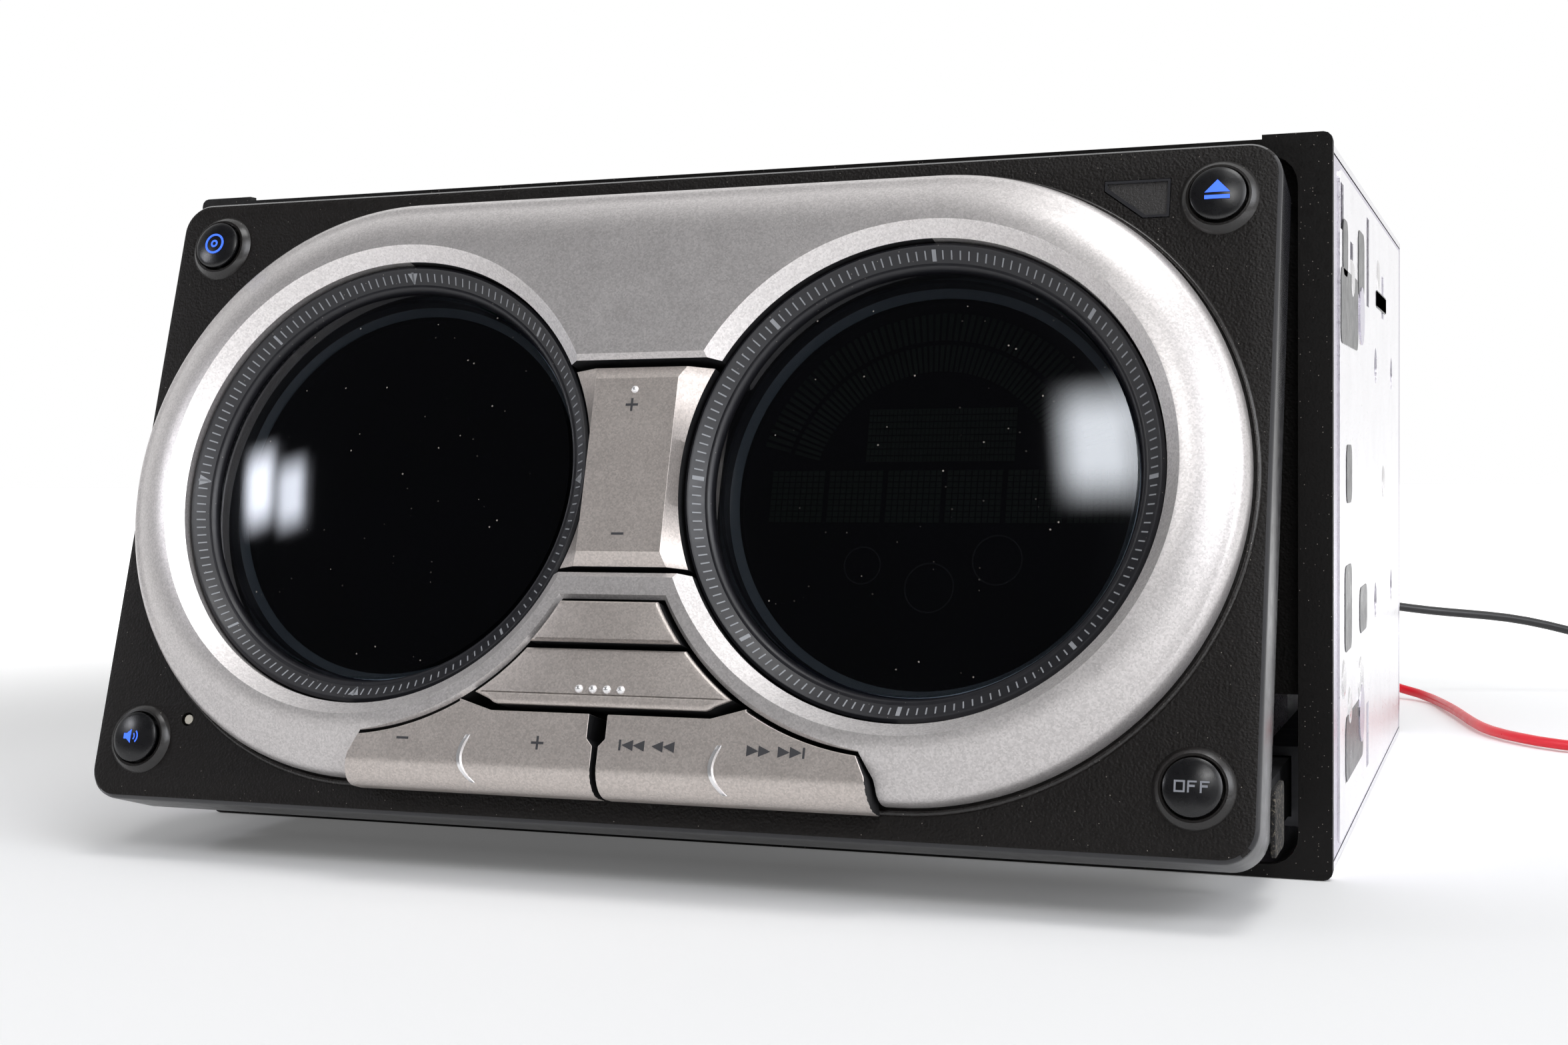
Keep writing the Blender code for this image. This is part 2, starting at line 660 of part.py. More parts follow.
def build_chassis_sheets():
    """Bottom plate, two sides, rear panel and top cover as separate flat sheets."""
    front = CHASSIS_FRONT
    rear = CHASSIS_BACK
    box("bottom_plate", (-CHASSIS_HALF, front, 0), (CHASSIS_HALF, rear, SHEET), STEEL)
    for name, side in (("left_side_panel", -1), ("right_side_panel", 1)):
        edge = rectangle(front, rear, WALL_LOW, WALL_HIGH)
        loops = [edge]
        for row in range(2):
            for column in range(2):
                spot = (back(BOLT_DEPTH_FROM) + column * BOLT_PITCH_Y, BOLT_LOW + row * BOLT_PITCH_Z)
                loops.append(circle(spot, BOLT_RADIUS, 32))
        loops += side_slots()
        inner = side * WALL_INNER
        outer = side * CHASSIS_HALF
        panel = outline(name, loops, min(inner, outer), max(inner, outer), STEEL, PLATE_YZ)
        for height in (SCREW_LOW, SCREW_HIGH):
            low = side * (CHASSIS_HALF - SHEET / 2)
            high = side * (CHASSIS_HALF + SCREW_HEAD_THICK)
            head = rod("screw_tool", (0, back(SCREW_FACE_DEPTH), height), SCREW_HEAD,
                       min(low, high), max(low, high), ALONG_X, None, segments=20)
            combine(panel, head, "UNION")
    top_low = CHASSIS_TOP - SHEET
    loops = [rectangle(-CHASSIS_HALF, CHASSIS_HALF, front, rear)]
    for column in range(-4, 5):
        left = column * VENT_STEP - VENT_WIDE / 2
        start = back(VENT_DEPTH_FROM)
        loops.append(rectangle(left, left + VENT_WIDE, start, start + VENT_LONG))
    outline("top_cover", loops, top_low, CHASSIS_TOP, STEEL)


def side_slots():
    """The stamped openings of a side sheet, as loops of (y, z)."""
    near, middle, far = (back(depth) for depth in SLOT_DEPTHS)
    top = WALL_HIGH - SLOT_TOP_GAP
    lower = top - SLOT_STEP_DOWN
    notch = back(NOTCH_DEPTH)
    low = back(LOW_SLOT_DEPTH)
    return [
        rectangle(near, near + SLOT_WIDE, top - SLOT_SHORT, top),
        rectangle(middle, middle + SLOT_WIDE, lower - SLOT_TALL, lower),
        rectangle(far, far + SLOT_WIDE, lower - SLOT_TALL, top),
        rectangle(low, low + SLOT_WIDE, LOW_SLOT_LOW, LOW_SLOT_LOW + SLOT_SHORT),
        rectangle(notch, notch + NOTCH_WIDE, NOTCH_LOW, NOTCH_LOW + NOTCH_TALL)]


def build_rear_panel():
    """The rear sheet with its openings for sockets and heat sink."""
    near = CHASSIS_BACK + GAP
    loops = [rectangle(-CHASSIS_HALF, CHASSIS_HALF, 0, CHASSIS_TOP)]
    left = PLUG_MID - PLUG_HALF - GAP
    right = PLUG_MID + PLUG_HALF + GAP
    loops.append(rectangle(left, right, PLUG_LOW - GAP, PLUG_HIGH + GAP))
    loops.append(circle((JACK_MID, JACK_HEIGHT), JACK_RADIUS + GAP))
    loops.append(rectangle(SINK_MID - SINK_HALF + FIN_DEEP, SINK_MID + SINK_HALF - FIN_DEEP,
                           SINK_LOW + FIN_DEEP / 2, SINK_HIGH - FIN_DEEP / 2))
    outline("rear_panel", loops, -near - SHEET, -near, STEEL, PLATE_XZ)


def build_inner_fascia():
    """The black plate behind the tilting panel, with the two loading slots."""
    near = back(FASCIA_DEPTH)
    loops = [rectangle(-ROOM_HALF, ROOM_HALF, FASCIA_LOW, WALL_HIGH)]
    loops.append(rectangle(-CD_SLOT_HALF, CD_SLOT_HALF, CD_SLOT_LOW, CD_SLOT_HIGH, SOFT_EDGE, 2))
    loops.append(rectangle(-MD_SLOT_HALF, MD_SLOT_HALF, MD_SLOT_LOW, MD_SLOT_HIGH, SOFT_EDGE, 2))
    outline("inner_fascia", loops, -near - FASCIA_THICK, -near, BLACK, PLATE_XZ)


def build_deck_bracket():
    """The folded bracket that carries the decks: two walls and a rear tie."""
    edge = [
        (back(BRACKET_STEP_DEPTH), WALL_LOW), (back(BRACKET_BACK), WALL_LOW),
        (back(BRACKET_BACK), WALL_HIGH), (back(BRACKET_FRONT), WALL_HIGH),
        (back(BRACKET_FRONT), BRACKET_STEP_HIGH), (back(BRACKET_STEP_DEPTH), BRACKET_STEP_HIGH)]
    far = BRACKET_INNER + SHEET
    bracket = outline("deck_bracket", [edge], -far, -BRACKET_INNER, STEEL, PLATE_YZ)
    wall = outline("bracket_tool", [edge], BRACKET_INNER, far, None, PLATE_YZ)
    combine(bracket, wall, "UNION")
    reach = BRACKET_INNER + SHEET / 2
    tie = box("bracket_tie_tool", (-reach, back(BRACKET_BACK) - SHEET, BRACKET_TIE_LOW),
              (reach, back(BRACKET_BACK), BRACKET_TIE_HIGH), None)
    combine(bracket, tie, "UNION")


def build_disc_drive():
    """The disc deck: plates, roller, spindle, pickup and clamp."""
    start = back(BRACKET_FRONT)
    end = back(DECK_BACK)
    deck = CD_PLATE_LOW + SHEET
    box("cd_base_plate", (-DECK_HALF, start, CD_PLATE_LOW), (DECK_HALF, end, deck), STEEL)
    cover = box("cd_top_plate", (-DECK_HALF, start, CD_COVER_LOW),
                (DECK_HALF, end, CD_COVER_LOW + SHEET), STEEL)
    spindle = back(SPINDLE_DEPTH)
    motor_low = deck + GAP
    motor_high = motor_low + SPINDLE_MOTOR_THICK
    rod("cd_spindle_motor", (0, spindle, motor_low), SPINDLE_MOTOR_RADIUS, 0,
        SPINDLE_MOTOR_THICK, ALONG_Z, ALLOY)
    table = [
        (0, TURNTABLE_THICK + TURNTABLE_BOSS_RISE),
        (TURNTABLE_BOSS, TURNTABLE_THICK + TURNTABLE_BOSS_RISE),
        (TURNTABLE_BOSS, TURNTABLE_THICK), (TURNTABLE_RADIUS, TURNTABLE_THICK),
        (TURNTABLE_RADIUS, 0), (0, 0)]
    turned("cd_turntable", table, BLACK, (0, spindle, motor_high + GAP), steps=24)
    roller = (0, back(ROLLER_DEPTH), CD_SLOT_LOW - ROLLER_RADIUS - GAP)
    shaft = DECK_HALF
    profile = [
        (0, shaft), (ROLLER_SHAFT, shaft), (ROLLER_SHAFT, ROLLER_HALF),
        (ROLLER_RADIUS, ROLLER_HALF), (ROLLER_RADIUS, -ROLLER_HALF), (ROLLER_SHAFT, -ROLLER_HALF),
        (ROLLER_SHAFT, -shaft), (0, -shaft)]
    turned("cd_roller", profile, RUBBER, roller, steps=16, turn=ALONG_X)
    build_disc_pickup(deck, spindle)
    build_disc_clamp(spindle, cover)


def build_disc_pickup(deck, spindle):
    """The laser pickup on its two rods, which a small block holds."""
    height = deck + ROD_HEIGHT
    low = deck + GAP
    middle = (PICKUP_FROM + PICKUP_WIDE / 2, spindle, height)
    sled = box(
        "cd_pickup", (PICKUP_FROM, spindle - PICKUP_LONG / 2, low + GAP),
        (PICKUP_FROM + PICKUP_WIDE, spindle + PICKUP_LONG / 2, low + PICKUP_TALL), BLACK,
        origin=middle)
    eye = rod("pickup_eye_tool", (middle[0], spindle, low + PICKUP_TALL), PICKUP_LENS,
              -PICKUP_LENS_RISE, PICKUP_LENS_RISE, ALONG_Z, None, segments=16)
    combine(sled, eye, "UNION")
    rods = []
    for side in (-1, 1):
        place = spindle + side * ROD_SPREAD
        bore = rod("pickup_bore_tool", (0, place, height), ROD_RADIUS + GAP, 0,
                   DECK_HALF, ALONG_X, None, segments=16)
        combine(sled, bore, "DIFFERENCE")
        rods.append(rod("rod_tool", (0, place, height), ROD_RADIUS, ROD_START, DECK_HALF,
                        ALONG_X, None, segments=12))
    guide = rod("cd_guide_rods", (0, spindle + ROD_SPREAD, height), ROD_RADIUS, ROD_START,
                DECK_HALF, ALONG_X, STEEL, segments=12)
    combine(guide, rods[0], "UNION")
    holder = box(
        "rod_holder_tool",
        (ROD_START - HOLDER_WIDE / 2, spindle - ROD_SPREAD - HOLDER_MARGIN, low),
        (ROD_START + HOLDER_WIDE / 2, spindle + ROD_SPREAD + HOLDER_MARGIN,
         height + HOLDER_MARGIN), None)
    combine(guide, holder, "UNION")


def build_disc_clamp(spindle, cover):
    """The clamp puck, the arm that lowers it and its pivot under the top plate."""
    low = CD_SLOT_HIGH + GAP
    clamp_top = low + CLAMP_THICK
    pivot = (0, back(CLAMP_PIVOT_DEPTH), CLAMP_PIVOT_HEIGHT)
    puck = [
        (0, CLAMP_THICK + CLAMP_STEM_RISE), (CLAMP_STEM, CLAMP_THICK + CLAMP_STEM_RISE),
        (CLAMP_STEM, CLAMP_THICK), (CLAMP_RADIUS, CLAMP_THICK), (CLAMP_RADIUS, 0), (0, 0)]
    turned("cd_clamp", puck, BLACK, (0, spindle, low), steps=24)
    arm = box(
        "cd_clamp_arm", (-CLAMP_ARM_HALF, spindle - CLAMP_ARM_HALF, clamp_top + GAP),
        (CLAMP_ARM_HALF, pivot[1], clamp_top + GAP + CLAMP_ARM_THICK), STEEL, origin=pivot)
    knuckle = rod("clamp_knuckle_tool", pivot, CLAMP_PIVOT_RADIUS * 2, -CLAMP_ARM_HALF,
                  CLAMP_ARM_HALF, ALONG_X, None, segments=16)
    combine(arm, knuckle, "UNION")
    bore = rod("clamp_bore_tool", pivot, CLAMP_PIVOT_RADIUS + GAP, -2 * CLAMP_ARM_HALF,
               2 * CLAMP_ARM_HALF, ALONG_X, None, segments=16)
    combine(arm, bore, "DIFFERENCE")
    seat = rod("clamp_seat_tool", (0, spindle, clamp_top), CLAMP_STEM + GAP, -GAP,
               CLAMP_ARM_THICK + CUT_OVERRUN, ALONG_Z, None, segments=16)
    combine(arm, seat, "DIFFERENCE")
    reach = CLAMP_ARM_HALF + GAP + CLAMP_POST_WIDE
    pin = rod("clamp_pin_tool", pivot, CLAMP_PIVOT_RADIUS, -reach + GAP, reach - GAP,
              ALONG_X, None, segments=12)
    combine(cover, pin, "UNION")
    for side in (-1, 1):
        near = side * (CLAMP_ARM_HALF + GAP)
        far = side * reach
        post = box(
            "clamp_post_tool",
            (min(near, far), pivot[1] - CLAMP_POST_WIDE / 2, pivot[2] - CLAMP_POST_WIDE / 2),
            (max(near, far), pivot[1] + CLAMP_POST_WIDE / 2, CD_COVER_LOW + SHEET / 2), None)
        combine(cover, post, "UNION")


def build_minidisc_drive():
    """The lower deck for cartridges: plate, guides, cover, spindle and pickup."""
    start = back(BRACKET_FRONT)
    end = back(MD_DECK_BACK)
    deck = MD_PLATE_LOW + SHEET
    plate = box("md_base_plate", (-DECK_HALF, start, MD_PLATE_LOW), (DECK_HALF, end, deck), STEEL)
    inner = MD_SLOT_HALF
    outer = inner + MD_GUIDE_THICK
    cage = box("md_cage", (-outer, start, MD_COVER_LOW), (outer, end, MD_COVER_LOW + SHEET),
               STEEL)
    for side in (-1, 1):
        near = side * inner
        far = side * outer
        guide = box("md_guide_tool", (min(near, far), start, deck + GAP),
                    (max(near, far), end, MD_COVER_LOW + SHEET / 2), None)
        combine(cage, guide, "UNION")
    spindle = back(MD_SPINDLE_DEPTH)
    low = deck + GAP
    rod("md_spindle_motor", (0, spindle, low), MD_MOTOR_RADIUS, 0, MD_MOTOR_THICK, ALONG_Z, ALLOY)
    hub = [
        (0, MD_HUB_THICK), (MD_HUB_RADIUS, MD_HUB_THICK), (MD_HUB_RADIUS, 0), (0, 0)]
    turned("md_turntable", hub, BLACK, (0, spindle, low + MD_MOTOR_THICK + GAP), steps=20)
    height = low + MD_ROD_HEIGHT
    middle = (MD_PICKUP_FROM + MD_PICKUP_WIDE / 2, spindle, height)
    sled = box(
        "md_pickup", (MD_PICKUP_FROM, spindle - MD_PICKUP_LONG / 2, low),
        (MD_PICKUP_FROM + MD_PICKUP_WIDE, spindle + MD_PICKUP_LONG / 2, low + MD_PICKUP_TALL),
        BLACK, origin=middle)
    rail = MD_ROD_START + MD_HOLDER_WIDE
    holder = box(
        "md_holder_tool",
        (MD_ROD_START, spindle - MD_ROD_SPREAD - 2 * MD_ROD_RADIUS, deck - SHEET / 2),
        (rail, spindle + MD_ROD_SPREAD + 2 * MD_ROD_RADIUS, height + 2 * MD_ROD_RADIUS), None)
    combine(plate, holder, "UNION")
    for side in (-1, 1):
        place = spindle + side * MD_ROD_SPREAD
        bore = rod("md_bore_tool", (0, place, height), MD_ROD_RADIUS + GAP, 0, DECK_HALF,
                   ALONG_X, None, segments=12)
        combine(sled, bore, "DIFFERENCE")
        guide = rod("md_rod_tool", (0, place, height), MD_ROD_RADIUS, rail - MD_HOLDER_WIDE / 2,
                    MD_ROD_END, ALONG_X, None, segments=10)
        combine(plate, guide, "UNION")


def build_board():
    """The circuit board between the brackets, with its tall parts."""
    top = BOARD_LOW + BOARD_THICK
    box("main_board", (-DECK_HALF, back(BOARD_FRONT), BOARD_LOW),
        (DECK_HALF, CHASSIS_BACK - GAP, top), GREEN)
    rest = top + GAP
    left, near = TUNER_AT
    wide, deep, tall = TUNER_SIZE
    box("tuner_can", (left, back(near), rest), (left + wide, back(near) + deep, rest + tall),
        STEEL, edge=SOFT_EDGE)
    rod("capacitor", (CAN_AT[0], back(CAN_AT[1]), rest), CAN_RADIUS, 0, CAN_TALL, ALONG_Z, GLOSS,
        segments=20)


def build_amplifier():
    """The power amplifier pressed against the finned heat sink."""
    face = CHASSIS_BACK + 2 * GAP + SHEET
    sink = box("heat_sink", (SINK_MID - SINK_HALF, face, SINK_LOW),
               (SINK_MID + SINK_HALF, face + SINK_BASE, SINK_HIGH), ALLOY)
    pad = box(
        "sink_pad_tool",
        (SINK_MID - SINK_HALF + FIN_DEEP + GAP, CHASSIS_BACK - GAP, SINK_LOW + FIN_DEEP),
        (SINK_MID + SINK_HALF - FIN_DEEP - GAP, face + SINK_BASE / 2, SINK_HIGH - FIN_DEEP), None)
    combine(sink, pad, "UNION")
    step = (2 * SINK_HALF - FIN_THICK) / (FIN_COUNT - 1)
    for index in range(FIN_COUNT):
        left = SINK_MID - SINK_HALF + index * step
        fin = box("fin_tool", (left, face + SINK_BASE / 2, SINK_LOW),
                  (left + FIN_THICK, face + SINK_BASE + FIN_DEEP, SINK_HIGH), None)
        combine(sink, fin, "UNION")
    wide, deep, tall = AMP_SIZE
    low = SINK_LOW + FIN_DEEP
    rear = CHASSIS_BACK - 2 * GAP
    box("amplifier_chip", (AMP_LEFT - wide / 2, rear - deep, low),
        (AMP_LEFT + wide / 2, rear, low + tall), BLACK, edge=SOFT_EDGE)


def build_sockets():
    """Power socket with its plug, and the aerial socket."""
    left = PLUG_MID - PLUG_HALF
    right = PLUG_MID + PLUG_HALF
    rear = CHASSIS_BACK + SHEET
    socket = box("power_socket", (left, CHASSIS_BACK - SOCKET_DEEP, PLUG_LOW),
                 (right, rear, PLUG_HIGH), BLACK)
    inner = box(
        "socket_tool", (left + SOCKET_WALL, CHASSIS_BACK - SOCKET_DEEP + SOCKET_WALL,
                        PLUG_LOW + SOCKET_WALL),
        (right - SOCKET_WALL, rear + CUT_OVERRUN, PLUG_HIGH - SOCKET_WALL), None)
    combine(socket, inner, "DIFFERENCE")
    margin = SOCKET_WALL + GAP
    plug = box(
        "harness_plug", (left + margin, CHASSIS_BACK - SOCKET_DEEP + margin, PLUG_LOW + margin),
        (right - margin, rear + PLUG_REACH, PLUG_HIGH - margin), IVORY)
    latch = box(
        "latch_tool", (PLUG_MID - PLUG_LATCH, rear + GAP, PLUG_HIGH - 2 * margin),
        (PLUG_MID + PLUG_LATCH, rear + PLUG_REACH, PLUG_HIGH), None)
    combine(plug, latch, "UNION")
    profile = [
        (JACK_BORE, JACK_OUT + SHEET), (JACK_RADIUS, JACK_OUT + SHEET), (JACK_RADIUS, -JACK_DEEP),
        (JACK_BORE, -JACK_DEEP)]
    turned("aerial_socket", profile, ALLOY, (JACK_MID, CHASSIS_BACK, JACK_HEIGHT), steps=20,
           closed=True, turn=ALONG_Y.inverted())


def build_rails():
    """The two channels in which the carriage arms slide."""
    open_side = ARM_INNER - GAP
    low = ARM_LOW - GAP - RAIL_LIP
    high = ARM_HIGH + GAP + RAIL_LIP
    web = ARM_OUTER + GAP
    edge = [
        (open_side, low), (ROOM_HALF, low), (ROOM_HALF, high), (open_side, high),
        (open_side, high - RAIL_LIP), (web, high - RAIL_LIP), (web, low + RAIL_LIP),
        (open_side, low + RAIL_LIP)]
    near = -back(RAIL_FRONT)
    far = -back(RAIL_BACK)
    outline("slide_rail_right", [edge], far, near, ALLOY, PLATE_XZ)
    outline("slide_rail_left", [mirrored(edge)], far, near, ALLOY, PLATE_XZ)


def build_carriage(pivot):
    """The sliding arms with their cross bar, the rack and the tilt motor."""
    rear = back(ARM_BACK_DEPTH)
    nose = arc((PIVOT_Y, PIVOT_Z), ARM_NOSE, 270, 90, 8)
    edge = [(rear, ARM_HIGH), (rear, ARM_LOW)] + nose
    bar_near = PIVOT_Y + BAR_AHEAD
    reach = (ARM_INNER + ARM_OUTER) / 2
    frame = box("carriage_frame", (-reach, bar_near, ARM_LOW + GAP),
                (reach, bar_near + BAR_THICK, ARM_HIGH - GAP), STEEL)
    for side in (-1, 1):
        near = side * ARM_INNER
        far = side * ARM_OUTER
        arm = outline("arm_tool", [edge], min(near, far), max(near, far), None, PLATE_YZ)
        combine(frame, arm, "UNION")
    hole = rod("arm_hole_tool", (0, PIVOT_Y, PIVOT_Z), PIN_HOLE, -FRAME_HALF, FRAME_HALF,
               ALONG_X, None, segments=20)
    combine(frame, hole, "DIFFERENCE")
    middle = (TILT_MOTOR_LEFT + TILT_MOTOR_RIGHT) / 2
    half = (TILT_MOTOR_RIGHT - TILT_MOTOR_LEFT) / 2
    motor = rod("tilt_motor", (0, PIVOT_Y, PIVOT_Z), TILT_MOTOR_RADIUS, middle - half,
                middle + half, ALONG_X, ALLOY, segments=20)
    foot = box(
        "tilt_foot_tool", (TILT_MOTOR_LEFT, PIVOT_Y, PIVOT_Z - TILT_MOTOR_RADIUS / 2),
        (TILT_MOTOR_RIGHT, bar_near - GAP, PIVOT_Z + TILT_MOTOR_RADIUS / 2), None)
    combine(motor, foot, "UNION")
    build_rack()


def tooth_outline(pitch_line, count, start, side):
    """Straight rack teeth along y, as points from start to end."""
    points = []
    for index in range(count):
        middle = start + index * TOOTH_PITCH
        root = TOOTH_PITCH * TOOTH_ROOT_SHARE / 2
        tip = TOOTH_PITCH * TOOTH_TIP_SHARE / 2
        points.append((pitch_line - side * TOOTH_TALL / 2, middle - root))
        points.append((pitch_line + side * TOOTH_TALL / 2, middle - tip))
        points.append((pitch_line + side * TOOTH_TALL / 2, middle + tip))
        points.append((pitch_line - side * TOOTH_TALL / 2, middle + root))
        points.append((pitch_line - side * (TOOTH_TALL / 2 + TOOTH_RELIEF),
                       middle + TOOTH_PITCH / 2))
    return points


def rack_pitch_line():
    """The x of the rack's pitch line."""
    return -ARM_INNER + GAP + RACK_BASE + TOOTH_TALL / 2


def build_rack():
    """The toothed rack on the inner face of the left arm."""
    line = rack_pitch_line()
    half_count = int((RACK_BACK - PINION_DEPTH) / TOOTH_PITCH)
    ahead = int((PINION_DEPTH - RACK_FRONT) / TOOTH_PITCH)
    count = half_count + ahead
    start = back(PINION_DEPTH) - (ahead - 0.5) * TOOTH_PITCH
    teeth = tooth_outline(line, count, start, 1)
    foot = -ARM_INNER + GAP
    edge = [(foot, start - TOOTH_PITCH)] + [(line - TOOTH_TALL / 2, start - TOOTH_PITCH)] + teeth
    last = start + count * TOOTH_PITCH
    edge += [(line - TOOTH_TALL / 2, last), (foot, last)]
    outline("drive_rack", [edge], RACK_LOW, RACK_HIGH, IVORY)


def build_drive():
    """The motor on its bracket, and the pinion that moves the carriage."""
    radius = PINION_TEETH * TOOTH_PITCH / (2 * math.pi)
    middle = (rack_pitch_line() + radius + TIP_CLEARANCE, back(PINION_DEPTH))
    points = []
    root = radius - TOOTH_TALL / 2
    tip = radius + TOOTH_TALL / 2
    for index in range(PINION_TEETH):
        centre = 180 + index * 360 / PINION_TEETH
        root_half = TOOTH_ROOT_SHARE * 180 / PINION_TEETH
        tip_half = TOOTH_TIP_SHARE * 180 / PINION_TEETH
        for distance, angle in ((root, centre - root_half), (tip, centre - tip_half),
                                (tip, centre + tip_half), (root, centre + root_half)):
            turn = math.radians(angle)
            points.append((middle[0] + distance * math.cos(turn),
                           middle[1] + distance * math.sin(turn)))
    spot = (middle[0], middle[1], RACK_LOW)
    pinion = outline("drive_pinion", [points], RACK_LOW + GAP, RACK_HIGH - GAP, IVORY, origin=spot)
    plate_low = ARM_HIGH + GAP + RAIL_LIP + GAP
    plate_high = plate_low + SHEET
    shaft = rod("shaft_tool", (middle[0], middle[1], 0), SHAFT_RADIUS, RACK_LOW + TOOTH_TALL,
                plate_high, ALONG_Z, None, segments=16)
    combine(pinion, shaft, "UNION")
    motor = rod("drive_motor", (middle[0], middle[1], 0), MOTOR_RADIUS, plate_high - SHEET / 2,
                plate_high + MOTOR_TALL, ALONG_Z, ALLOY)
    bracket = box(
        "bracket_tool", (-ROOM_HALF, back(MOTOR_PLATE_DEPTH), plate_low),
        (middle[0] + MOTOR_RADIUS, back(MOTOR_PLATE_DEPTH) + MOTOR_PLATE_LONG, plate_high), None)
    combine(motor, bracket, "UNION")
    hole = rod("bracket_hole_tool", (middle[0], middle[1], 0), SHAFT_RADIUS + GAP, 0,
               plate_high + GAP, ALONG_Z, None, segments=16)
    combine(motor, hole, "DIFFERENCE")


def panel_shift():
    """From panel sizes to the pivot, which carries every panel piece."""
    return Vector((0, -PIVOT_V, -PIVOT_W))


def build_panel_shell(pivot):
    """The black front moulding, hollow behind, with bores and stem holes."""
    shift = panel_shift()
    body = rectangle(-PANEL_HALF, PANEL_HALF, PANEL_LOW, PANEL_HIGH, PANEL_RADIUS)
    shell = outline("panel_shell", [body], COVER_FACE + GAP, PANEL_FACE, BLACK,
                    parent=pivot, shift=shift)
    bevel(shell, PANEL_EDGE, 2)
    side = PANEL_SIDE
    room = rectangle(-PANEL_HALF + side, PANEL_HALF - side, PANEL_LOW + side, PANEL_HIGH - side,
                     PANEL_RADIUS - side)
    hollow = outline("shell_hollow_tool", [room], PANEL_BACK, PANEL_FACE - PANEL_WALL, None,
                     parent=pivot, shift=shift)
    combine(shell, hollow, "DIFFERENCE")
    loops = []
    for side in (-1, 1):
        loops.append(circle((side * RING_HALF, 0), SHELL_BORE, 48))
    for index, (across, up) in enumerate(stem_spots()):
        slot = STEM_HALF + (GAP if index in STRAIGHT_STEMS else 2 * GAP)
        loops.append(rectangle(across - slot, across + slot, up - slot, up + slot))
    for across, up in corner_spots():
        loops.append(circle((across, up), BUTTON_STEM_HOLE, 16))
    loops.append(circle((RESET_U, RESET_V), RESET_HOLE, 10))
    for index, loop in enumerate(loops):
        tool = outline("shell_hole_tool_%02d" % index, [loop], PANEL_BACK, BEZEL_FACE, None,
                       parent=pivot, shift=shift)
        combine(shell, tool, "DIFFERENCE")
    build_dishes(shell, pivot)
    pocket = outline("window_pocket_tool", [window_outline(0)], PANEL_FACE - WINDOW_DEEP,
                     BEZEL_FACE, None, parent=pivot, shift=shift)
    combine(shell, pocket, "DIFFERENCE")
    return shell


def build_dishes(shell, pivot):
    """The dished rims around the corner buttons, moulded with the shell."""
    under = PANEL_FACE - GAP
    dish = [
        (DISH_RADIUS * DISH_TOP_SHARE, DISH_TOP), (DISH_RADIUS, DISH_TOP - GAP), (DISH_RADIUS, under),
        (DISH_FLOOR, under), (DISH_FLOOR, PANEL_FACE + GAP)]
    for across, up in corner_spots():
        spot = Vector((across, up, 0)) + panel_shift()
        rim = turned("dish_tool", dish, None, spot, pivot, 20, closed=True)
        combine(shell, rim, "UNION")


def window_outline(margin):
    """The infrared window: a rectangle with its lower left corner cut off."""
    left = WINDOW_LEFT + margin
    right = WINDOW_RIGHT - margin
    low = WINDOW_LOW + margin
    high = WINDOW_HIGH - margin
    return [(left + WINDOW_CUT_U, low), (right, low), (right, high), (left, high),
            (left, low + WINDOW_CUT_V)]


def stem_spots():
    """Where the key stems pass through the moulding."""
    middle_v = (VOLUME_TOP + VOLUME_LOW) / 2
    reach = (VOLUME_TOP - VOLUME_LOW) / 4
    track_v = (TRACK_TOP + TRACK_LOW) / 2
    half = RIDGE_AT / 2
    spots = [(0, middle_v + reach), (0, middle_v - reach), (0, (MODE_TOP + MODE_LOW) / 2),
             (0, (SOURCE_TOP + SOURCE_LOW) / 2)]
    for side in (-1, 1):
        spots.append((side * (RIDGE_AT - half), track_v))
        spots.append((side * (RIDGE_AT + half), track_v))
    return spots


def corner_spots():
    """The centres of the four corner buttons."""
    return [(side * CORNER_U, end * CORNER_V) for end in (1, -1) for side in (-1, 1)]


def build_panel_back(pivot):
    """The back cover with its hinge ears, pins and posts, and the panel's board."""
    shift = panel_shift()
    margin = GAP
    body = rectangle(-PANEL_HALF + margin, PANEL_HALF - margin, PANEL_LOW + margin,
                     PANEL_HIGH - margin, PANEL_RADIUS)
    cover = outline("panel_back_cover", [body], PANEL_BACK, COVER_FACE, BLACK, parent=pivot,
                    shift=shift)
    for side in (-1, 1):
        near = side * EAR_INNER
        far = side * EAR_OUTER
        profile = arc((PIVOT_V, PIVOT_W), EAR_RADIUS, 180, 360, 8)
        front = COVER_FACE - COVER_THICK / 2
        profile += [(PIVOT_V + EAR_RADIUS, front), (PIVOT_V - EAR_RADIUS, front)]
        ear = outline("ear_tool", [profile], min(near, far), max(near, far), None, PLATE_YZ,
                      parent=pivot, shift=shift)
        combine(cover, ear, "UNION")
        start = side * (TILT_MOTOR_RIGHT + GAP)
        stop = side * ARM_OUTER
        pin = rod("pin_tool", (0, PIVOT_V, PIVOT_W), PIN_RADIUS, min(start, stop),
                  max(start, stop), ALONG_X, None, parent=pivot, segments=20, shift=shift)
        combine(cover, pin, "UNION")
        for end in (-1, 1):
            post = rod("cover_post_tool", (side * POST_U, end * POST_V, 0), POST_RADIUS,
                       COVER_FACE - COVER_THICK / 2, BOARD_FACE - BOARD_THICK - GAP, ALONG_Z, None,
                       parent=pivot, segments=12, shift=shift)
            combine(cover, post, "UNION")
    box("panel_board", (-BOARD_HALF, BOARD_DOWN, BOARD_FACE - BOARD_THICK),
        (BOARD_HALF, BOARD_UP, BOARD_FACE), GREEN, parent=pivot, shift=shift)


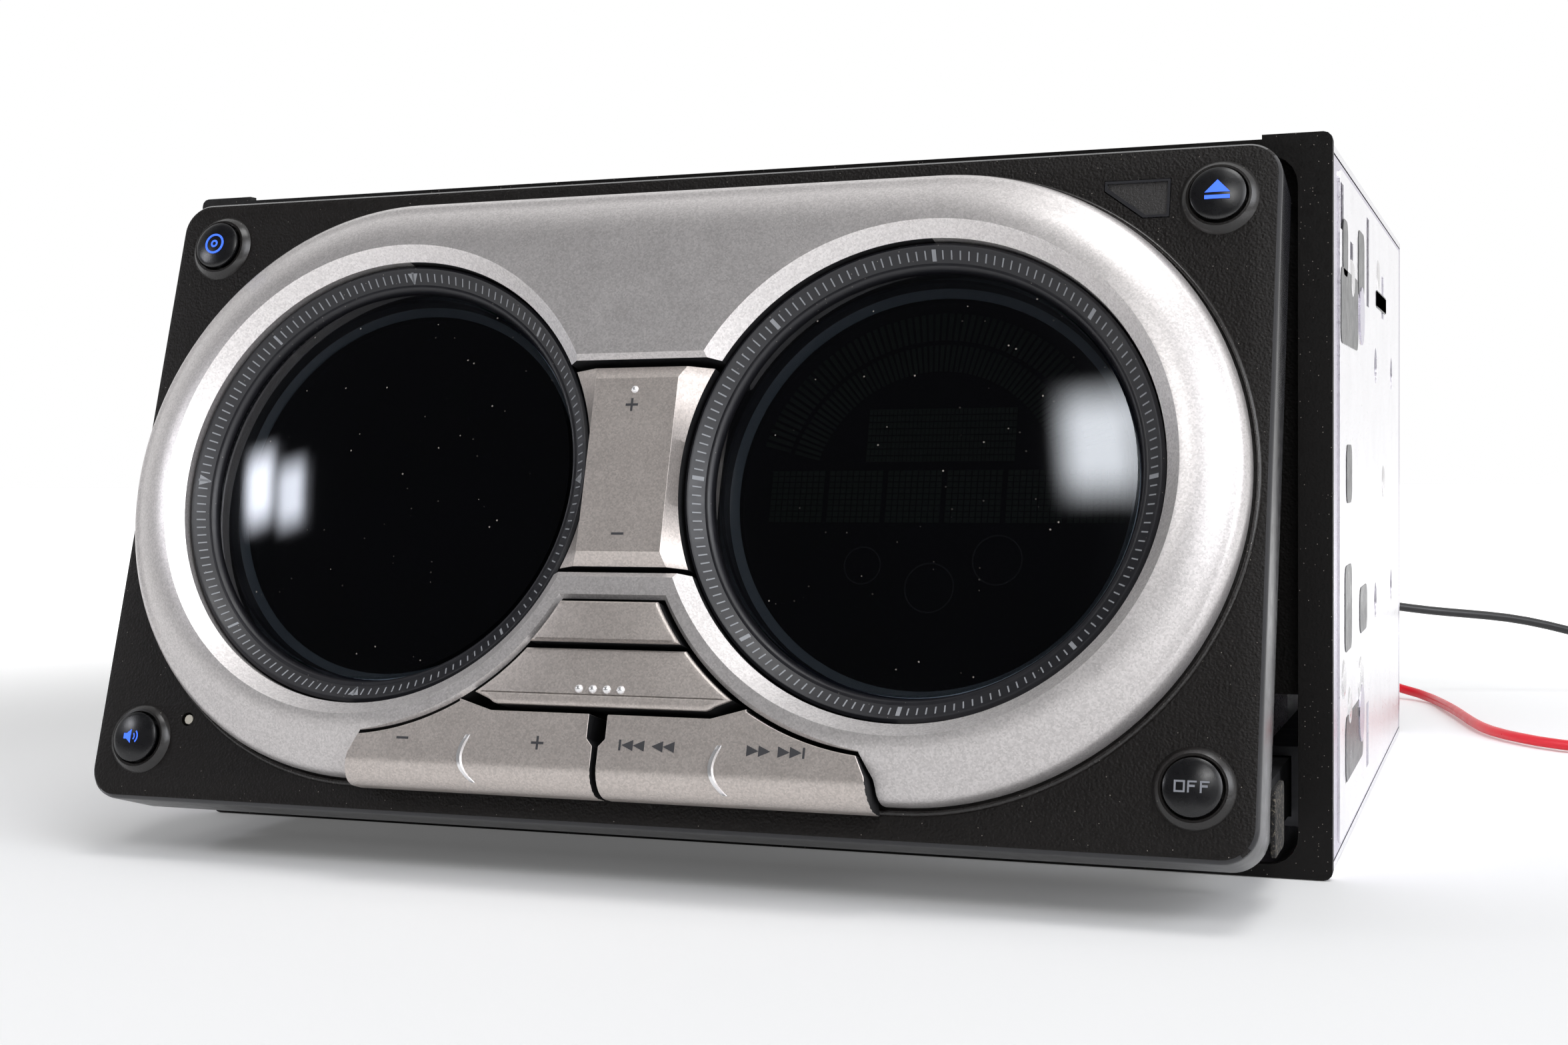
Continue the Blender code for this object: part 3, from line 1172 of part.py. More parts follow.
def build_bezel(pivot):
    """The silver bezel: a domed stadium with two flared bores and the key openings."""
    shift = panel_shift()
    steps = 24
    edge = arc((RING_HALF, 0), BEZEL_RADIUS, -90, 90, steps)
    edge += arc((-RING_HALF, 0), BEZEL_RADIUS, 90, 270, steps)
    tall = (BEZEL_FACE - BEZEL_BASE) / BEZEL_SQUASH_SHARE
    bezel = outline("silver_bezel", [edge], 0, tall, SILVER, parent=pivot, shift=shift)
    bm = bmesh.new()
    bm.from_mesh(bezel.data)
    rim = [line for line in bm.edges if len(line.link_faces) == 2
           and all(vert.co.z > tall / 2 for vert in line.verts)
           and line.calc_face_angle() > math.radians(60)]
    bmesh.ops.bevel(bm, geom=rim, offset=BEZEL_ROUND, offset_type="OFFSET", segments=6,
                    profile=0.5, affect="EDGES")
    bmesh.ops.scale(bm, vec=(1, 1, BEZEL_SQUASH_SHARE), verts=bm.verts)
    bmesh.ops.translate(bm, vec=(0, 0, BEZEL_BASE), verts=bm.verts)
    bm.to_mesh(bezel.data)
    bm.free()
    top = BEZEL_FACE + CUT_OVERRUN
    flare = BORE_RADIUS + (top - BORE_LEDGE) * BORE_FLARE_SHARE
    profile = [
        (0, top), (flare, top), (BORE_RADIUS, BORE_LEDGE), (BORE_RADIUS, BEZEL_BASE - CUT_OVERRUN),
        (0, BEZEL_BASE - CUT_OVERRUN)]
    for side in (-1, 1):
        bore = turned("bezel_bore_tool", profile, None, (side * RING_HALF, -PIVOT_V, -PIVOT_W),
                      parent=pivot, steps=56)
        combine(bezel, bore, "DIFFERENCE")
    below = BEZEL_BASE - CUT_OVERRUN
    rise = BEZEL_FACE - KEY_GAP_BEVEL
    wide = RING_HALF - BORE_RADIUS * math.cos(math.radians(KEY_GAP_SPREAD_DEG))
    notch = [
        (KEY_GAP_LOW, below), (KEY_GAP_TOP, below), (KEY_GAP_TOP, rise),
        (KEY_GAP_TOP + top - rise, top), (KEY_GAP_LOW - top + rise, top), (KEY_GAP_LOW, rise)]
    tool = outline("volume_gap_tool", [notch], -wide, wide, None, PLATE_YZ, parent=pivot,
                   shift=shift)
    combine(bezel, tool, "DIFFERENCE")
    tool = outline("key_zone_tool", [key_zone(0)], below, top, None, parent=pivot, shift=shift)
    combine(bezel, tool, "DIFFERENCE")
    return smooth(bezel, 30)


def arc_start_deg(top, radius):
    """The angle at which a ring's arc of this radius meets a level line."""
    return 360 - math.degrees(math.acos(-1 * math.sqrt(1 - (top / radius) ** 2)))


def key_zone(margin):
    """The opening for the mode, source and rocker keys."""
    radius = ARC_RADIUS + margin
    start = arc_start_deg(KEY_ZONE_TOP, radius)
    right = arc((RING_HALF, 0), radius, start, ARC_END_DEG, 16)
    right += [(ZONE_SIDE, ZONE_SIDE_V), (ZONE_FOOT, -BEZEL_RADIUS - CUT_OVERRUN)]
    return right + mirrored(right)


def side_arc(top, low, steps):
    """The right flank of a key, along the arc around the right ring."""
    radius = ARC_RADIUS + KEY_SIDE_GAP
    start = arc_start_deg(top, radius)
    end = arc_start_deg(low, radius)
    return arc((RING_HALF, 0), radius, start, end, steps)


def add_stem(key, across, up, origin, pivot):
    """Join a square stem that reaches back to the circuit board."""
    spot = panel_shift()
    stem = box(
        key.name + "_stem_tool", (across - STEM_HALF, up - STEM_HALF, KEY_STEM_BACK),
        (across + STEM_HALF, up + STEM_HALF, KEY_BACK + CUT_OVERRUN), None, parent=pivot,
        shift=spot)
    combine(key, stem, "UNION")


def build_centre_keys(pivot):
    """Volume rocker, mode and source keys, and the two rockers at the bottom."""
    shift = panel_shift()
    spots = stem_spots()
    build_volume_rocker(pivot, shift, spots)
    right = side_arc(MODE_TOP, MODE_LOW, 4)
    origin = (0, (MODE_TOP + MODE_LOW) / 2, KEY_BACK)
    mode = outline("mode_button", [right + mirrored(right)], KEY_BACK, MODE_FACE, SILVER,
                   parent=pivot, origin=origin, shift=shift)
    bevel(mode, KEY_EDGE)
    add_stem(mode, *spots[2], origin, pivot)
    right = side_arc(SOURCE_TOP, SOURCE_SHOULDER, 4)
    right += [(SOURCE_FOOT + SOURCE_FACE / 4, SOURCE_LOW + SOFT_EDGE / 2),
              (SOURCE_FOOT, SOURCE_LOW)]
    origin = (0, (SOURCE_TOP + SOURCE_LOW) / 2, KEY_BACK)
    source = outline("source_button", [right + mirrored(right)], KEY_BACK, SOURCE_FACE, SILVER,
                     parent=pivot, origin=origin, shift=shift)
    bevel(source, KEY_EDGE)
    add_stem(source, *spots[3], origin, pivot)
    build_bottom_rockers(pivot, shift, spots)


def build_volume_rocker(pivot, shift, spots):
    """The tall rocker between the rings, with sloped flanks and ends."""
    middle_v = (VOLUME_TOP + VOLUME_LOW) / 2
    origin = (0, middle_v, KEY_BACK)
    radius = BORE_RADIUS + GAP
    start = arc_start_deg(VOLUME_LOW, radius)
    end = 180 - math.degrees(math.asin(VOLUME_TOP / radius))
    right = arc((RING_HALF, 0), radius, end, start, 14)
    volume = outline("volume_rocker", [right + mirrored(right)], KEY_BACK, VOLUME_FACE, SILVER,
                     parent=pivot, origin=origin, shift=shift)
    spread = VOLUME_HALF + (VOLUME_FACE - KEY_BACK) / VOLUME_FLARE_SHARE
    flanks = [(-spread, KEY_BACK), (spread, KEY_BACK), (VOLUME_HALF, VOLUME_FACE),
              (-VOLUME_HALF, VOLUME_FACE)]
    tool = outline("volume_flank_tool", [flanks], -VOLUME_TOP - CUT_OVERRUN,
                   -VOLUME_LOW + CUT_OVERRUN, None, PLATE_XZ, parent=pivot, shift=shift)
    combine(volume, tool, "INTERSECT")
    drop = VOLUME_END_DROP
    long = VOLUME_END_LONG
    ends = [(VOLUME_LOW, KEY_BACK), (VOLUME_TOP, KEY_BACK), (VOLUME_TOP, VOLUME_FACE - drop),
            (VOLUME_TOP - long, VOLUME_FACE), (VOLUME_LOW + long, VOLUME_FACE),
            (VOLUME_LOW, VOLUME_FACE - drop)]
    tool = outline("volume_end_tool", [ends], -spread, spread, None, PLATE_YZ, parent=pivot,
                   shift=shift)
    combine(volume, tool, "INTERSECT")
    add_stem(volume, *spots[0], origin, pivot)
    add_stem(volume, *spots[1], origin, pivot)


def build_bottom_rockers(pivot, shift, spots):
    """The disc and track rockers, with their rolled lower edge."""
    right = [(TRACK_SEAM, TRACK_LOW), (TRACK_SEAM, TRACK_SEAM_V), (TRACK_INNER, TRACK_SEAM_V),
             (TRACK_INNER, TRACK_TOP), (SOURCE_FOOT + SOFT_EDGE, TRACK_TOP),
             (TRACK_SHOULDER, TRACK_SHOULDER_V)]
    radius = ARC_RADIUS + KEY_SIDE_GAP
    start = arc_start_deg(TRACK_SHOULDER_V, radius)
    right += arc((RING_HALF, 0), radius, start + TRACK_TURN_DEG, ARC_END_DEG, 8)
    right += [(TRACK_END, ZONE_SIDE_V), (TRACK_END + SOFT_EDGE, TRACK_LOW)]
    roll = [(TRACK_LOW, KEY_BACK), (TRACK_LOW + TRACK_ROUND / 20, TRACK_FACE - TRACK_ROUND)]
    roll += arc((TRACK_LOW + TRACK_ROUND, TRACK_FACE - TRACK_ROUND), TRACK_ROUND, 170, 90, 6)
    roll += [(TRACK_SHOULDER_V + CUT_OVERRUN, TRACK_FACE), (TRACK_SHOULDER_V + CUT_OVERRUN,
             KEY_BACK)]
    for name, side, first in (("disc_rocker", -1, 4), ("track_rocker", 1, 6)):
        edge = right if side > 0 else mirrored(right)
        origin = (side * RIDGE_AT, (TRACK_TOP + TRACK_LOW) / 2, KEY_BACK)
        rocker = outline(name, [edge], KEY_BACK, TRACK_FACE, SILVER, parent=pivot, origin=origin,
                         shift=shift)
        tool = outline(name + "_roll_tool", [roll], -FRAME_HALF, FRAME_HALF, None, PLATE_YZ,
                       parent=pivot, shift=shift)
        combine(rocker, tool, "INTERSECT")
        smooth(rocker, 30)
        for across, up in spots[first:first + 2]:
            add_stem(rocker, across, up, origin, pivot)


def build_dials(pivot):
    """Dial rings, domed lenses and display glasses."""
    ring = [
        (RING_BREAK, RING_TOP), (RING_OUTER, RING_TOP - GAP), (RING_OUTER, RING_BACK),
        (RING_INNER, RING_BACK), (RING_INNER, RING_LIP), (TICK_INNER, TICK_DROP)]
    rise = []
    for step in range(5):
        share = step / 4
        rise.append((LENS_RADIUS * share, LENS_EDGE + LENS_RISE * (1 - share * share)))
    lens = rise + [(LENS_RADIUS, LENS_EDGE - LENS_THICK)]
    lens += [(rise[2][0], rise[2][1] - LENS_THICK), (0, rise[0][1] - LENS_THICK)]
    plate = [
        (0, GLASS_FACE), (GLASS_RADIUS, GLASS_FACE), (GLASS_RADIUS, BOARD_FACE + GAP),
        (0, BOARD_FACE + GAP)]
    for title, side in (("left", -1), ("right", 1)):
        spot = (side * RING_HALF, -PIVOT_V, -PIVOT_W)
        turned("ring_" + title, ring, BLACK, spot, pivot, 56, closed=True)
        turned("lens_" + title, lens, GLOSS, spot, pivot, 40)
        turned("display_" + title, plate, GLOSS, spot, pivot, 32)


def build_corner_buttons(pivot):
    """Four round buttons, the infrared window and the reset key."""
    shift = panel_shift()
    names = ("button_top_left", "button_top_right", "button_bottom_left", "button_bottom_right")
    button = [
        (0, BUTTON_FACE), (BUTTON_RADIUS * BUTTON_FLAT_SHARE, BUTTON_FACE - BUTTON_DOME / 2),
        (BUTTON_RADIUS, BUTTON_FACE - BUTTON_DOME * 1.5), (BUTTON_RADIUS, KEY_BACK),
        (BUTTON_STEM, KEY_BACK), (BUTTON_STEM, KEY_STEM_BACK), (0, KEY_STEM_BACK)]
    for name, (across, up) in zip(names, corner_spots()):
        turned(name, button, BLACK, Vector((across, up, 0)) + shift, pivot, 20)
    outline("infrared_window", [window_outline(GAP)], PANEL_FACE - WINDOW_DEEP + GAP / 2,
            PANEL_FACE - GAP / 2, GLOSS, parent=pivot, shift=shift)
    rod("reset_button", (RESET_U, RESET_V, 0), RESET_RADIUS, KEY_STEM_BACK,
        PANEL_FACE - GAP, ALONG_Z, IVORY, parent=pivot, segments=10, shift=shift)


def smooth_path(points, count):
    """Points evenly spread on a smooth curve through the given ones."""
    knots = [Vector(point) for point in points]
    chain = [knots[0] * 2 - knots[1]] + knots + [knots[-1] * 2 - knots[-2]]
    fine = []
    for index in range(1, len(chain) - 2):
        a, b, c, d = chain[index - 1:index + 3]
        for step in range(12):
            t = step / 12
            fine.append(0.5 * (2 * b + (c - a) * t + (2 * a - 5 * b + 4 * c - d) * t * t
                               + (3 * b - a - 3 * c + d) * t * t * t))
    fine.append(knots[-1])
    lengths = [0]
    for first, second in zip(fine, fine[1:]):
        lengths.append(lengths[-1] + (second - first).length)
    result = []
    for step in range(count):
        want = lengths[-1] * step / (count - 1)
        index = max(1, next((i for i, value in enumerate(lengths) if value >= want),
                            len(lengths) - 1))
        span = lengths[index] - lengths[index - 1]
        share = (want - lengths[index - 1]) / span
        result.append(fine[index - 1].lerp(fine[index], share))
    return result


def build_lead(name, points, look):
    """A supply lead as a bevelled curve with filled caps."""
    curve = bpy.data.curves.new(name, "CURVE")
    curve.dimensions = "3D"
    curve.bevel_depth = LEAD_RADIUS
    curve.bevel_resolution = 2
    curve.use_fill_caps = True
    path = smooth_path(points, LEAD_POINTS)
    spline = curve.splines.new("POLY")
    spline.points.add(len(path) - 1)
    for point, place in zip(spline.points, path):
        point.co = (*place, 1)
    curve.materials.append(material(name, look))
    PARTS.objects.link(bpy.data.objects.new(name, curve))


def main():
    """Clear the scene and model the whole head unit."""
    global PARTS, TOOLS
    for obj in list(bpy.data.objects):
        bpy.data.objects.remove(obj)
    PARTS = bpy.data.collections.new("car_stereo_head_unit")
    TOOLS = bpy.data.collections.new("cutters")
    bpy.context.scene.collection.children.link(PARTS)
    bpy.context.scene.collection.children.link(TOOLS)
    build_front_frame()
    build_chassis_sheets()
    build_rear_panel()
    build_inner_fascia()
    build_deck_bracket()
    build_disc_drive()
    build_minidisc_drive()
    build_board()
    build_amplifier()
    build_sockets()
    build_rails()
    pivot = bpy.data.objects.new("panel_pivot", None)
    pivot.location = (0, PIVOT_Y, PIVOT_Z)
    pivot.rotation_euler = (math.radians(90 - TILT_DEG), 0, 0)
    PARTS.objects.link(pivot)
    build_carriage(pivot)
    build_drive()
    build_panel_shell(pivot)
    build_panel_back(pivot)
    build_bezel(pivot)
    build_centre_keys(pivot)
    build_dials(pivot)
    build_corner_buttons(pivot)
    build_lead("red_lead", RED_PATH, RED)
    build_lead("black_lead", BLACK_PATH, RUBBER)


main()
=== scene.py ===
"""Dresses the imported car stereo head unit: paint, grain, marks, lenses and leads."""
import math

import bmesh
import bpy
from mathutils import Matrix, Vector


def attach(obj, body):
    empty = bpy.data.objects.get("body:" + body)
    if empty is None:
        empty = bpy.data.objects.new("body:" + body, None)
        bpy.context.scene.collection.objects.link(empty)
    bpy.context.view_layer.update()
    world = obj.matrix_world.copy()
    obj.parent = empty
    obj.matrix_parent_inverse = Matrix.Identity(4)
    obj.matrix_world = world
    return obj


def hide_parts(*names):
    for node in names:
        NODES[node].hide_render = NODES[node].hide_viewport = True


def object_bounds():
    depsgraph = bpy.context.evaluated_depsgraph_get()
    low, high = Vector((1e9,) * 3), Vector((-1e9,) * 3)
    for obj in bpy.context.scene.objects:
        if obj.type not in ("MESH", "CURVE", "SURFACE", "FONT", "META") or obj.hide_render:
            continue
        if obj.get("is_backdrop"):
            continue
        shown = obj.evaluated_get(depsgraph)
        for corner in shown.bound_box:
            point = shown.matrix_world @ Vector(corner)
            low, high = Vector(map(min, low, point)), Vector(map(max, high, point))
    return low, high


bl_info = {
    "name": "Car Stereo Head Unit Dresser",
    "version": (1, 0, 0),
    "blender": (4, 5, 0),
    "location": "View3D > Sidebar > Head Unit",
    "description": "Adds finishes, marks, lenses and leads to a car stereo head unit",
    "category": "Object",
}

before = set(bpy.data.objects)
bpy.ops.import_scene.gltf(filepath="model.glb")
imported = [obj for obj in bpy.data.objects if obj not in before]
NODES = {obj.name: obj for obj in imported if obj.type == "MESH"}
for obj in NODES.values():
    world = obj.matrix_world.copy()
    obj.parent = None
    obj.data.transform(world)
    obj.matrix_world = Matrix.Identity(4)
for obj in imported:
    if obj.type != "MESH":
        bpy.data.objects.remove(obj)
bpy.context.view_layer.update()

MM = 0.001
GAP = 0.3 * MM

# The tilting panel: (u, v, w) is right, up and out from the ring plane
PIVOT = Vector((0, -0.09596, 0.0106))
PIVOT_V = -0.040
PIVOT_W = -0.0202
TILT_DEG = 16.65
PANEL = (Matrix.Translation(PIVOT) @ Matrix.Rotation(math.radians(90 - TILT_DEG), 4, "X")
         @ Matrix.Translation((0, -PIVOT_V, -PIVOT_W)))
PANEL_HALF = 0.0839
PANEL_LOW = -0.0469
PANEL_HIGH = 0.0457
PANEL_RADIUS = 0.0045
PANEL_FACE = -0.003
RING_HALF = 0.03942
BEZEL_RADIUS = 0.0423
BEZEL_BASE = PANEL_FACE + GAP
BORE_RADIUS = 0.0324
ARC_RADIUS = 0.0365
KEY_BACK = -0.0018
KEY_STEM_BACK = -0.0083
VOLUME_FACE = 0.0039
MODE_FACE = 0.0052
SOURCE_FACE = 0.0045
SIGN_FACE = -0.00093
ROLL_START = -0.0396
ROLL_LEVEL = 0.0001
ROLL_RADIUS = 0.0040
CORNER_U = 0.07605
CORNER_V = 0.0381
RIDGE_AT = 0.018

# Faces this steep against the panel are walls, and the band lies along the moulding's edge
STEEP = 0.3
EDGE_BAND = 0.0012
FLARE_SLOPE = 0.80
FLARE_FOOT = 0.0016

# Where the picture's dark hole lies for gloss, as azimuth and elevation
DARK_AZIMUTH = -26
DARK_ELEVATION = 25

# The supply leads' routes, as the solids have them
LEAD_RADIUS = 0.0010
LEAD_POINTS = 34
LEAD_REST = LEAD_RADIUS + GAP
LEAD_START_Y = 0.0879 + GAP
LEAD_START_Z = 0.0309
PLUG_MID = 0.050
LEAD_SPREAD = 0.005
RED_PATH = (
    (PLUG_MID + LEAD_SPREAD, LEAD_START_Y, LEAD_START_Z),
    (0.0580, 0.0980, 0.0300),
    (0.0660, 0.1180, 0.0190),
    (0.0790, 0.1340, 0.0050),
    (0.0910, 0.1290, LEAD_REST),
    (0.0975, 0.1070, LEAD_REST),
    (0.1050, 0.0760, LEAD_REST),
    (0.1140, 0.0610, LEAD_REST),
    (0.1230, 0.0540, LEAD_REST),
    (0.1330, 0.0500, LEAD_REST),
)
BLACK_PATH = (
    (PLUG_MID - LEAD_SPREAD, LEAD_START_Y, LEAD_START_Z),
    (0.0480, 0.1010, 0.0310),
    (0.0640, 0.1260, 0.0250),
    (0.0880, 0.1450, 0.0200),
    (0.1120, 0.1540, 0.0170),
    (0.1330, 0.1580, 0.0110),
    (0.1480, 0.1600, 0.0030),
    (0.1600, 0.1610, LEAD_REST),
)


class FinishSettings(bpy.types.PropertyGroup):
    """Colours and grain sizes of the finishes."""
    silver: bpy.props.FloatVectorProperty(
        name="Silver paint", description="Base colour of the metallic silver paint",
        subtype="COLOR", size=3, default=(0.60, 0.572, 0.565), min=0, max=1)
    black: bpy.props.FloatVectorProperty(
        name="Black plastic", description="Base colour of the grained black mouldings",
        subtype="COLOR", size=3, default=(0.0052, 0.0043, 0.0039), min=0, max=1)
    steel: bpy.props.FloatVectorProperty(
        name="Plated steel", description="Base colour of the bright plated sheet",
        subtype="COLOR", size=3, default=(0.80, 0.79, 0.82), min=0, max=1)
    # The legend colour is the blue print and also the colour of its painted glow
    legend: bpy.props.FloatVectorProperty(
        name="Lit legends", description="Colour of the lit legends on the corner buttons",
        subtype="COLOR", size=3, default=(0.05, 0.16, 0.95), min=0, max=1)
    flake: bpy.props.FloatProperty(
        name="Flake size", description="Size of the metal flakes in the silver paint",
        subtype="DISTANCE", unit="LENGTH", default=0.00022, min=0.00005, max=0.002)
    grain: bpy.props.FloatProperty(
        name="Grain size", description="Size of the grain on the black mouldings",
        subtype="DISTANCE", unit="LENGTH", default=0.00026, min=0.0001, max=0.003)


class DialSettings(bpy.types.PropertyGroup):
    """Marks and glass of the two round displays."""
    ticks: bpy.props.IntProperty(
        name="Fine marks", description="Number of fine marks around each ring",
        default=160, min=24, max=360)
    tick_inner: bpy.props.FloatProperty(
        name="Mark inner radius", description="Radius where the fine marks start",
        subtype="DISTANCE", unit="LENGTH", default=0.0301, min=0.02, max=0.032)
    tick_outer: bpy.props.FloatProperty(
        name="Mark outer radius", description="Radius where the fine marks end",
        subtype="DISTANCE", unit="LENGTH", default=0.0313, min=0.02, max=0.032)
    lens_alpha: bpy.props.FloatProperty(
        name="Lens cover", description="How much the smoked lens hides what is under it",
        subtype="FACTOR", default=0.62, min=0.2, max=1)


class StageSettings(bpy.types.PropertyGroup):
    """Floor and light."""
    floor_size: bpy.props.FloatProperty(
        name="Floor size", description="Half width of the pale floor",
        subtype="DISTANCE", unit="LENGTH", default=3.0, min=0.5, max=20)
    key_power: bpy.props.FloatProperty(
        name="Softbox power", description="Power of the softbox over the camera",
        unit="POWER", default=4.0, min=0, max=200)
    world: bpy.props.FloatProperty(
        name="Room light", description="Strength of the even room light",
        default=0.30, min=0, max=3)


class Tree:
    """A short way to write a material's nodes."""

    def __init__(self, name, color, roughness, metallic=0.0):
        self.mat = bpy.data.materials.new(name)
        self.mat.use_nodes = True
        self.nodes = self.mat.node_tree.nodes
        self.links = self.mat.node_tree.links
        self.shader = self.nodes["Principled BSDF"]
        self.set("Base Color", (*color, 1))
        self.set("Roughness", roughness)
        self.set("Metallic", metallic)
        self.where = self.node("ShaderNodeTexCoord").outputs["Object"]

    def set(self, socket, value):
        """Set one of the shader's own sockets."""
        self.shader.inputs[socket].default_value = value

    def node(self, kind, **values):
        """A node with its settings and the default values of its inputs."""
        made = self.nodes.new(kind)
        for key, value in values.items():
            if hasattr(made, key):
                setattr(made, key, value)
            else:
                made.inputs[key.replace("_", " ")].default_value = value
        return made

    def link(self, output, target):
        self.links.new(output, target)

    def noise(self, size, detail=4.0, roughness=0.6):
        """Noise whose lumps are about this size in metres."""
        made = self.node("ShaderNodeTexNoise", Scale=1 / size, Detail=detail, Roughness=roughness)
        self.link(self.where, made.inputs["Vector"])
        return made.outputs["Fac"]

    def cells(self, size, feature="F1"):
        """Cells of about this size in metres."""
        made = self.node("ShaderNodeTexVoronoi", feature=feature, Scale=1 / size)
        self.link(self.where, made.inputs["Vector"])
        return made

    def math(self, how, first, second=0.0):
        """One arithmetic step."""
        made = self.node("ShaderNodeMath", operation=how)
        for slot, value in enumerate((first, second)):
            if isinstance(value, (int, float)):
                made.inputs[slot].default_value = value
            else:
                self.link(value, made.inputs[slot])
        return made.outputs[0]

    def spread(self, value, low, high, new_low=0.0, new_high=1.0):
        """Bring a value from one range to another."""
        made = self.node("ShaderNodeMapRange")
        for index, number in enumerate((low, high, new_low, new_high)):
            made.inputs[index + 1].default_value = number
        self.link(value, made.inputs[0])
        return made.outputs[0]

    def mix(self, amount, first, second):
        """A colour between two colours."""
        made = self.node("ShaderNodeMix", data_type="RGBA")
        self.link(amount, made.inputs["Factor"])
        for socket, value in ((made.inputs[6], first), (made.inputs[7], second)):
            if isinstance(value, tuple):
                socket.default_value = (*value, 1) if len(value) == 3 else value
            else:
                self.link(value, socket)
        return made.outputs[2]

    def color(self, output):
        self.link(output, self.shader.inputs["Base Color"])

    def rough(self, output):
        self.link(output, self.shader.inputs["Roughness"])

    def bump(self, height, distance, strength=1.0):
        """Relief of this depth in metres."""
        made = self.node("ShaderNodeBump", Strength=strength, Distance=distance)
        self.link(height, made.inputs["Height"])
        self.link(made.outputs[0], self.shader.inputs["Normal"])


def shade(color, factor):
    """The colour, lighter or darker."""
    return tuple(min(1.0, part * factor) for part in color)


def dust_and_glint_specks(tree, color, amount, size=0.0006, strength=0.5, reach=0.10):
    """Fine pale specks over a dark colour: dust, and on the bezel lip painted glints."""
    cells = tree.cells(size)
    pick = tree.math("LESS_THAN", cells.outputs["Distance"], reach)
    few = tree.node("ShaderNodeSeparateColor")
    tree.link(cells.outputs["Color"], few.inputs[0])
    chosen = tree.math("LESS_THAN", few.outputs[0], amount)
    speck = tree.math("MULTIPLY", pick, chosen)
    faint = tree.math("MULTIPLY", speck, strength)
    return tree.mix(faint, color, (0.55, 0.50, 0.45))


def silver_paint(name="silver_paint", factor=1.0, warm=False):
    """Fine metal flakes under clear coat."""
    look = bpy.context.scene.head_unit_finish
    base = shade(tuple(look.silver), factor)
    if warm:
        base = (base[0] * 1.02, base[1] * 0.97, base[2] * 0.92)
    tree = Tree(name, base, 0.38, 0.62)
    tree.set("Coat Weight", 0.15)
    tree.set("Coat Roughness", 0.25)
    flakes = tree.cells(look.flake)
    grey = tree.node("ShaderNodeSeparateColor")
    tree.link(flakes.outputs["Color"], grey.inputs[0])
    sparkle = tree.spread(grey.outputs[0], 0, 1, 0, 1)
    tree.color(tree.mix(sparkle, shade(base, 0.86), shade(base, 1.12)))
    tree.rough(tree.spread(tree.noise(0.004), 0.3, 0.7, 0.33, 0.40))
    tree.bump(sparkle, 0.000012, 0.5)
    return tree.mat


def black_grain(name="black_grain", dust_and_glint=0.10, factor=1.0, depth=0.00009):
    """Leather like grain of a black moulding."""
    look = bpy.context.scene.head_unit_finish
    base = shade(tuple(look.black), factor)
    tree = Tree(name, base, 0.5)
    tree.set("Specular IOR Level", 0.22)
    lumps = tree.noise(look.grain, 2.0)
    cells = tree.cells(look.grain * 1.4, "SMOOTH_F1").outputs["Distance"]
    height = tree.math("ADD", lumps, cells)
    tint = tree.mix(tree.noise(0.0007, 6.0, 0.8), shade(base, 0.3), shade(base, 2.6))
    tree.color(dust_and_glint_specks(tree, tint, dust_and_glint))
    tree.rough(tree.spread(tree.noise(0.0012), 0.3, 0.7, 0.38, 0.55))
    tree.bump(height, depth, 1.0)
    return tree.mat


def satin_black(name="satin_black", color=(0.014, 0.014, 0.016), roughness=0.35, dust_and_glint=0.0):
    """Smooth black plastic with faint variation."""
    tree = Tree(name, color, roughness)
    tint = tree.mix(tree.noise(0.003), shade(color, 0.8), shade(color, 1.3))
    tree.color(dust_and_glint_specks(tree, tint, dust_and_glint) if dust_and_glint else tint)
    tree.rough(tree.spread(tree.noise(0.002), 0.3, 0.7, roughness * 0.85, roughness * 1.2))
    tree.bump(tree.noise(0.0006), 0.00001, 0.4)
    return tree.mat


def coated(mat, weight, roughness=0.03):
    """The material under a clear coat."""
    inputs = mat.node_tree.nodes["Principled BSDF"].inputs
    inputs["Coat Weight"].default_value = weight
    inputs["Coat Roughness"].default_value = roughness
    return mat


def plated_steel(name="plated_steel", color=None, roughness=0.2, grain=(0.012, 0.0004, 0.0004)):
    """Bright plated sheet with a faint rolled grain."""
    look = bpy.context.scene.head_unit_finish
    base = tuple(look.steel) if color is None else color
    tree = Tree(name, base, roughness, 1.0)
    stretch = tree.node("ShaderNodeVectorMath", operation="DIVIDE")
    tree.link(tree.where, stretch.inputs[0])
    stretch.inputs[1].default_value = grain
    lines = tree.node("ShaderNodeTexNoise", Scale=1.0, Detail=3.0)
    tree.link(stretch.outputs[0], lines.inputs["Vector"])
    marks = tree.noise(0.009, 3.0)
    tree.color(tree.mix(marks, shade(base, 0.9), shade(base, 1.05)))
    tree.rough(tree.spread(lines.outputs["Fac"], 0.3, 0.7, roughness * 0.8, roughness * 1.25))
    tree.bump(lines.outputs["Fac"], 0.00001, 0.5)
    return tree.mat


def circuit_green():
    """Lacquered circuit board with tracks."""
    tree = Tree("circuit_green", (0.02, 0.12, 0.05), 0.3)
    brick = tree.node("ShaderNodeTexBrick", Scale=260.0)
    tree.link(tree.where, brick.inputs["Vector"])
    brick.inputs["Mortar Size"].default_value = 0.04
    tree.color(tree.mix(brick.outputs["Fac"], (0.02, 0.12, 0.05), (0.05, 0.22, 0.09)))
    tree.bump(brick.outputs["Fac"], 0.00003, 0.5)
    return tree.mat


def plain(name, color, roughness, metallic=0.0, lump=0.0008):
    """A moulded or cast finish with slight variation."""
    tree = Tree(name, color, roughness, metallic)
    tree.color(tree.mix(tree.noise(lump * 3), shade(color, 0.88), shade(color, 1.08)))
    tree.rough(tree.spread(tree.noise(lump * 2), 0.3, 0.7, roughness * 0.85, roughness * 1.2))
    tree.bump(tree.noise(lump), lump / 40, 0.5)
    return tree.mat


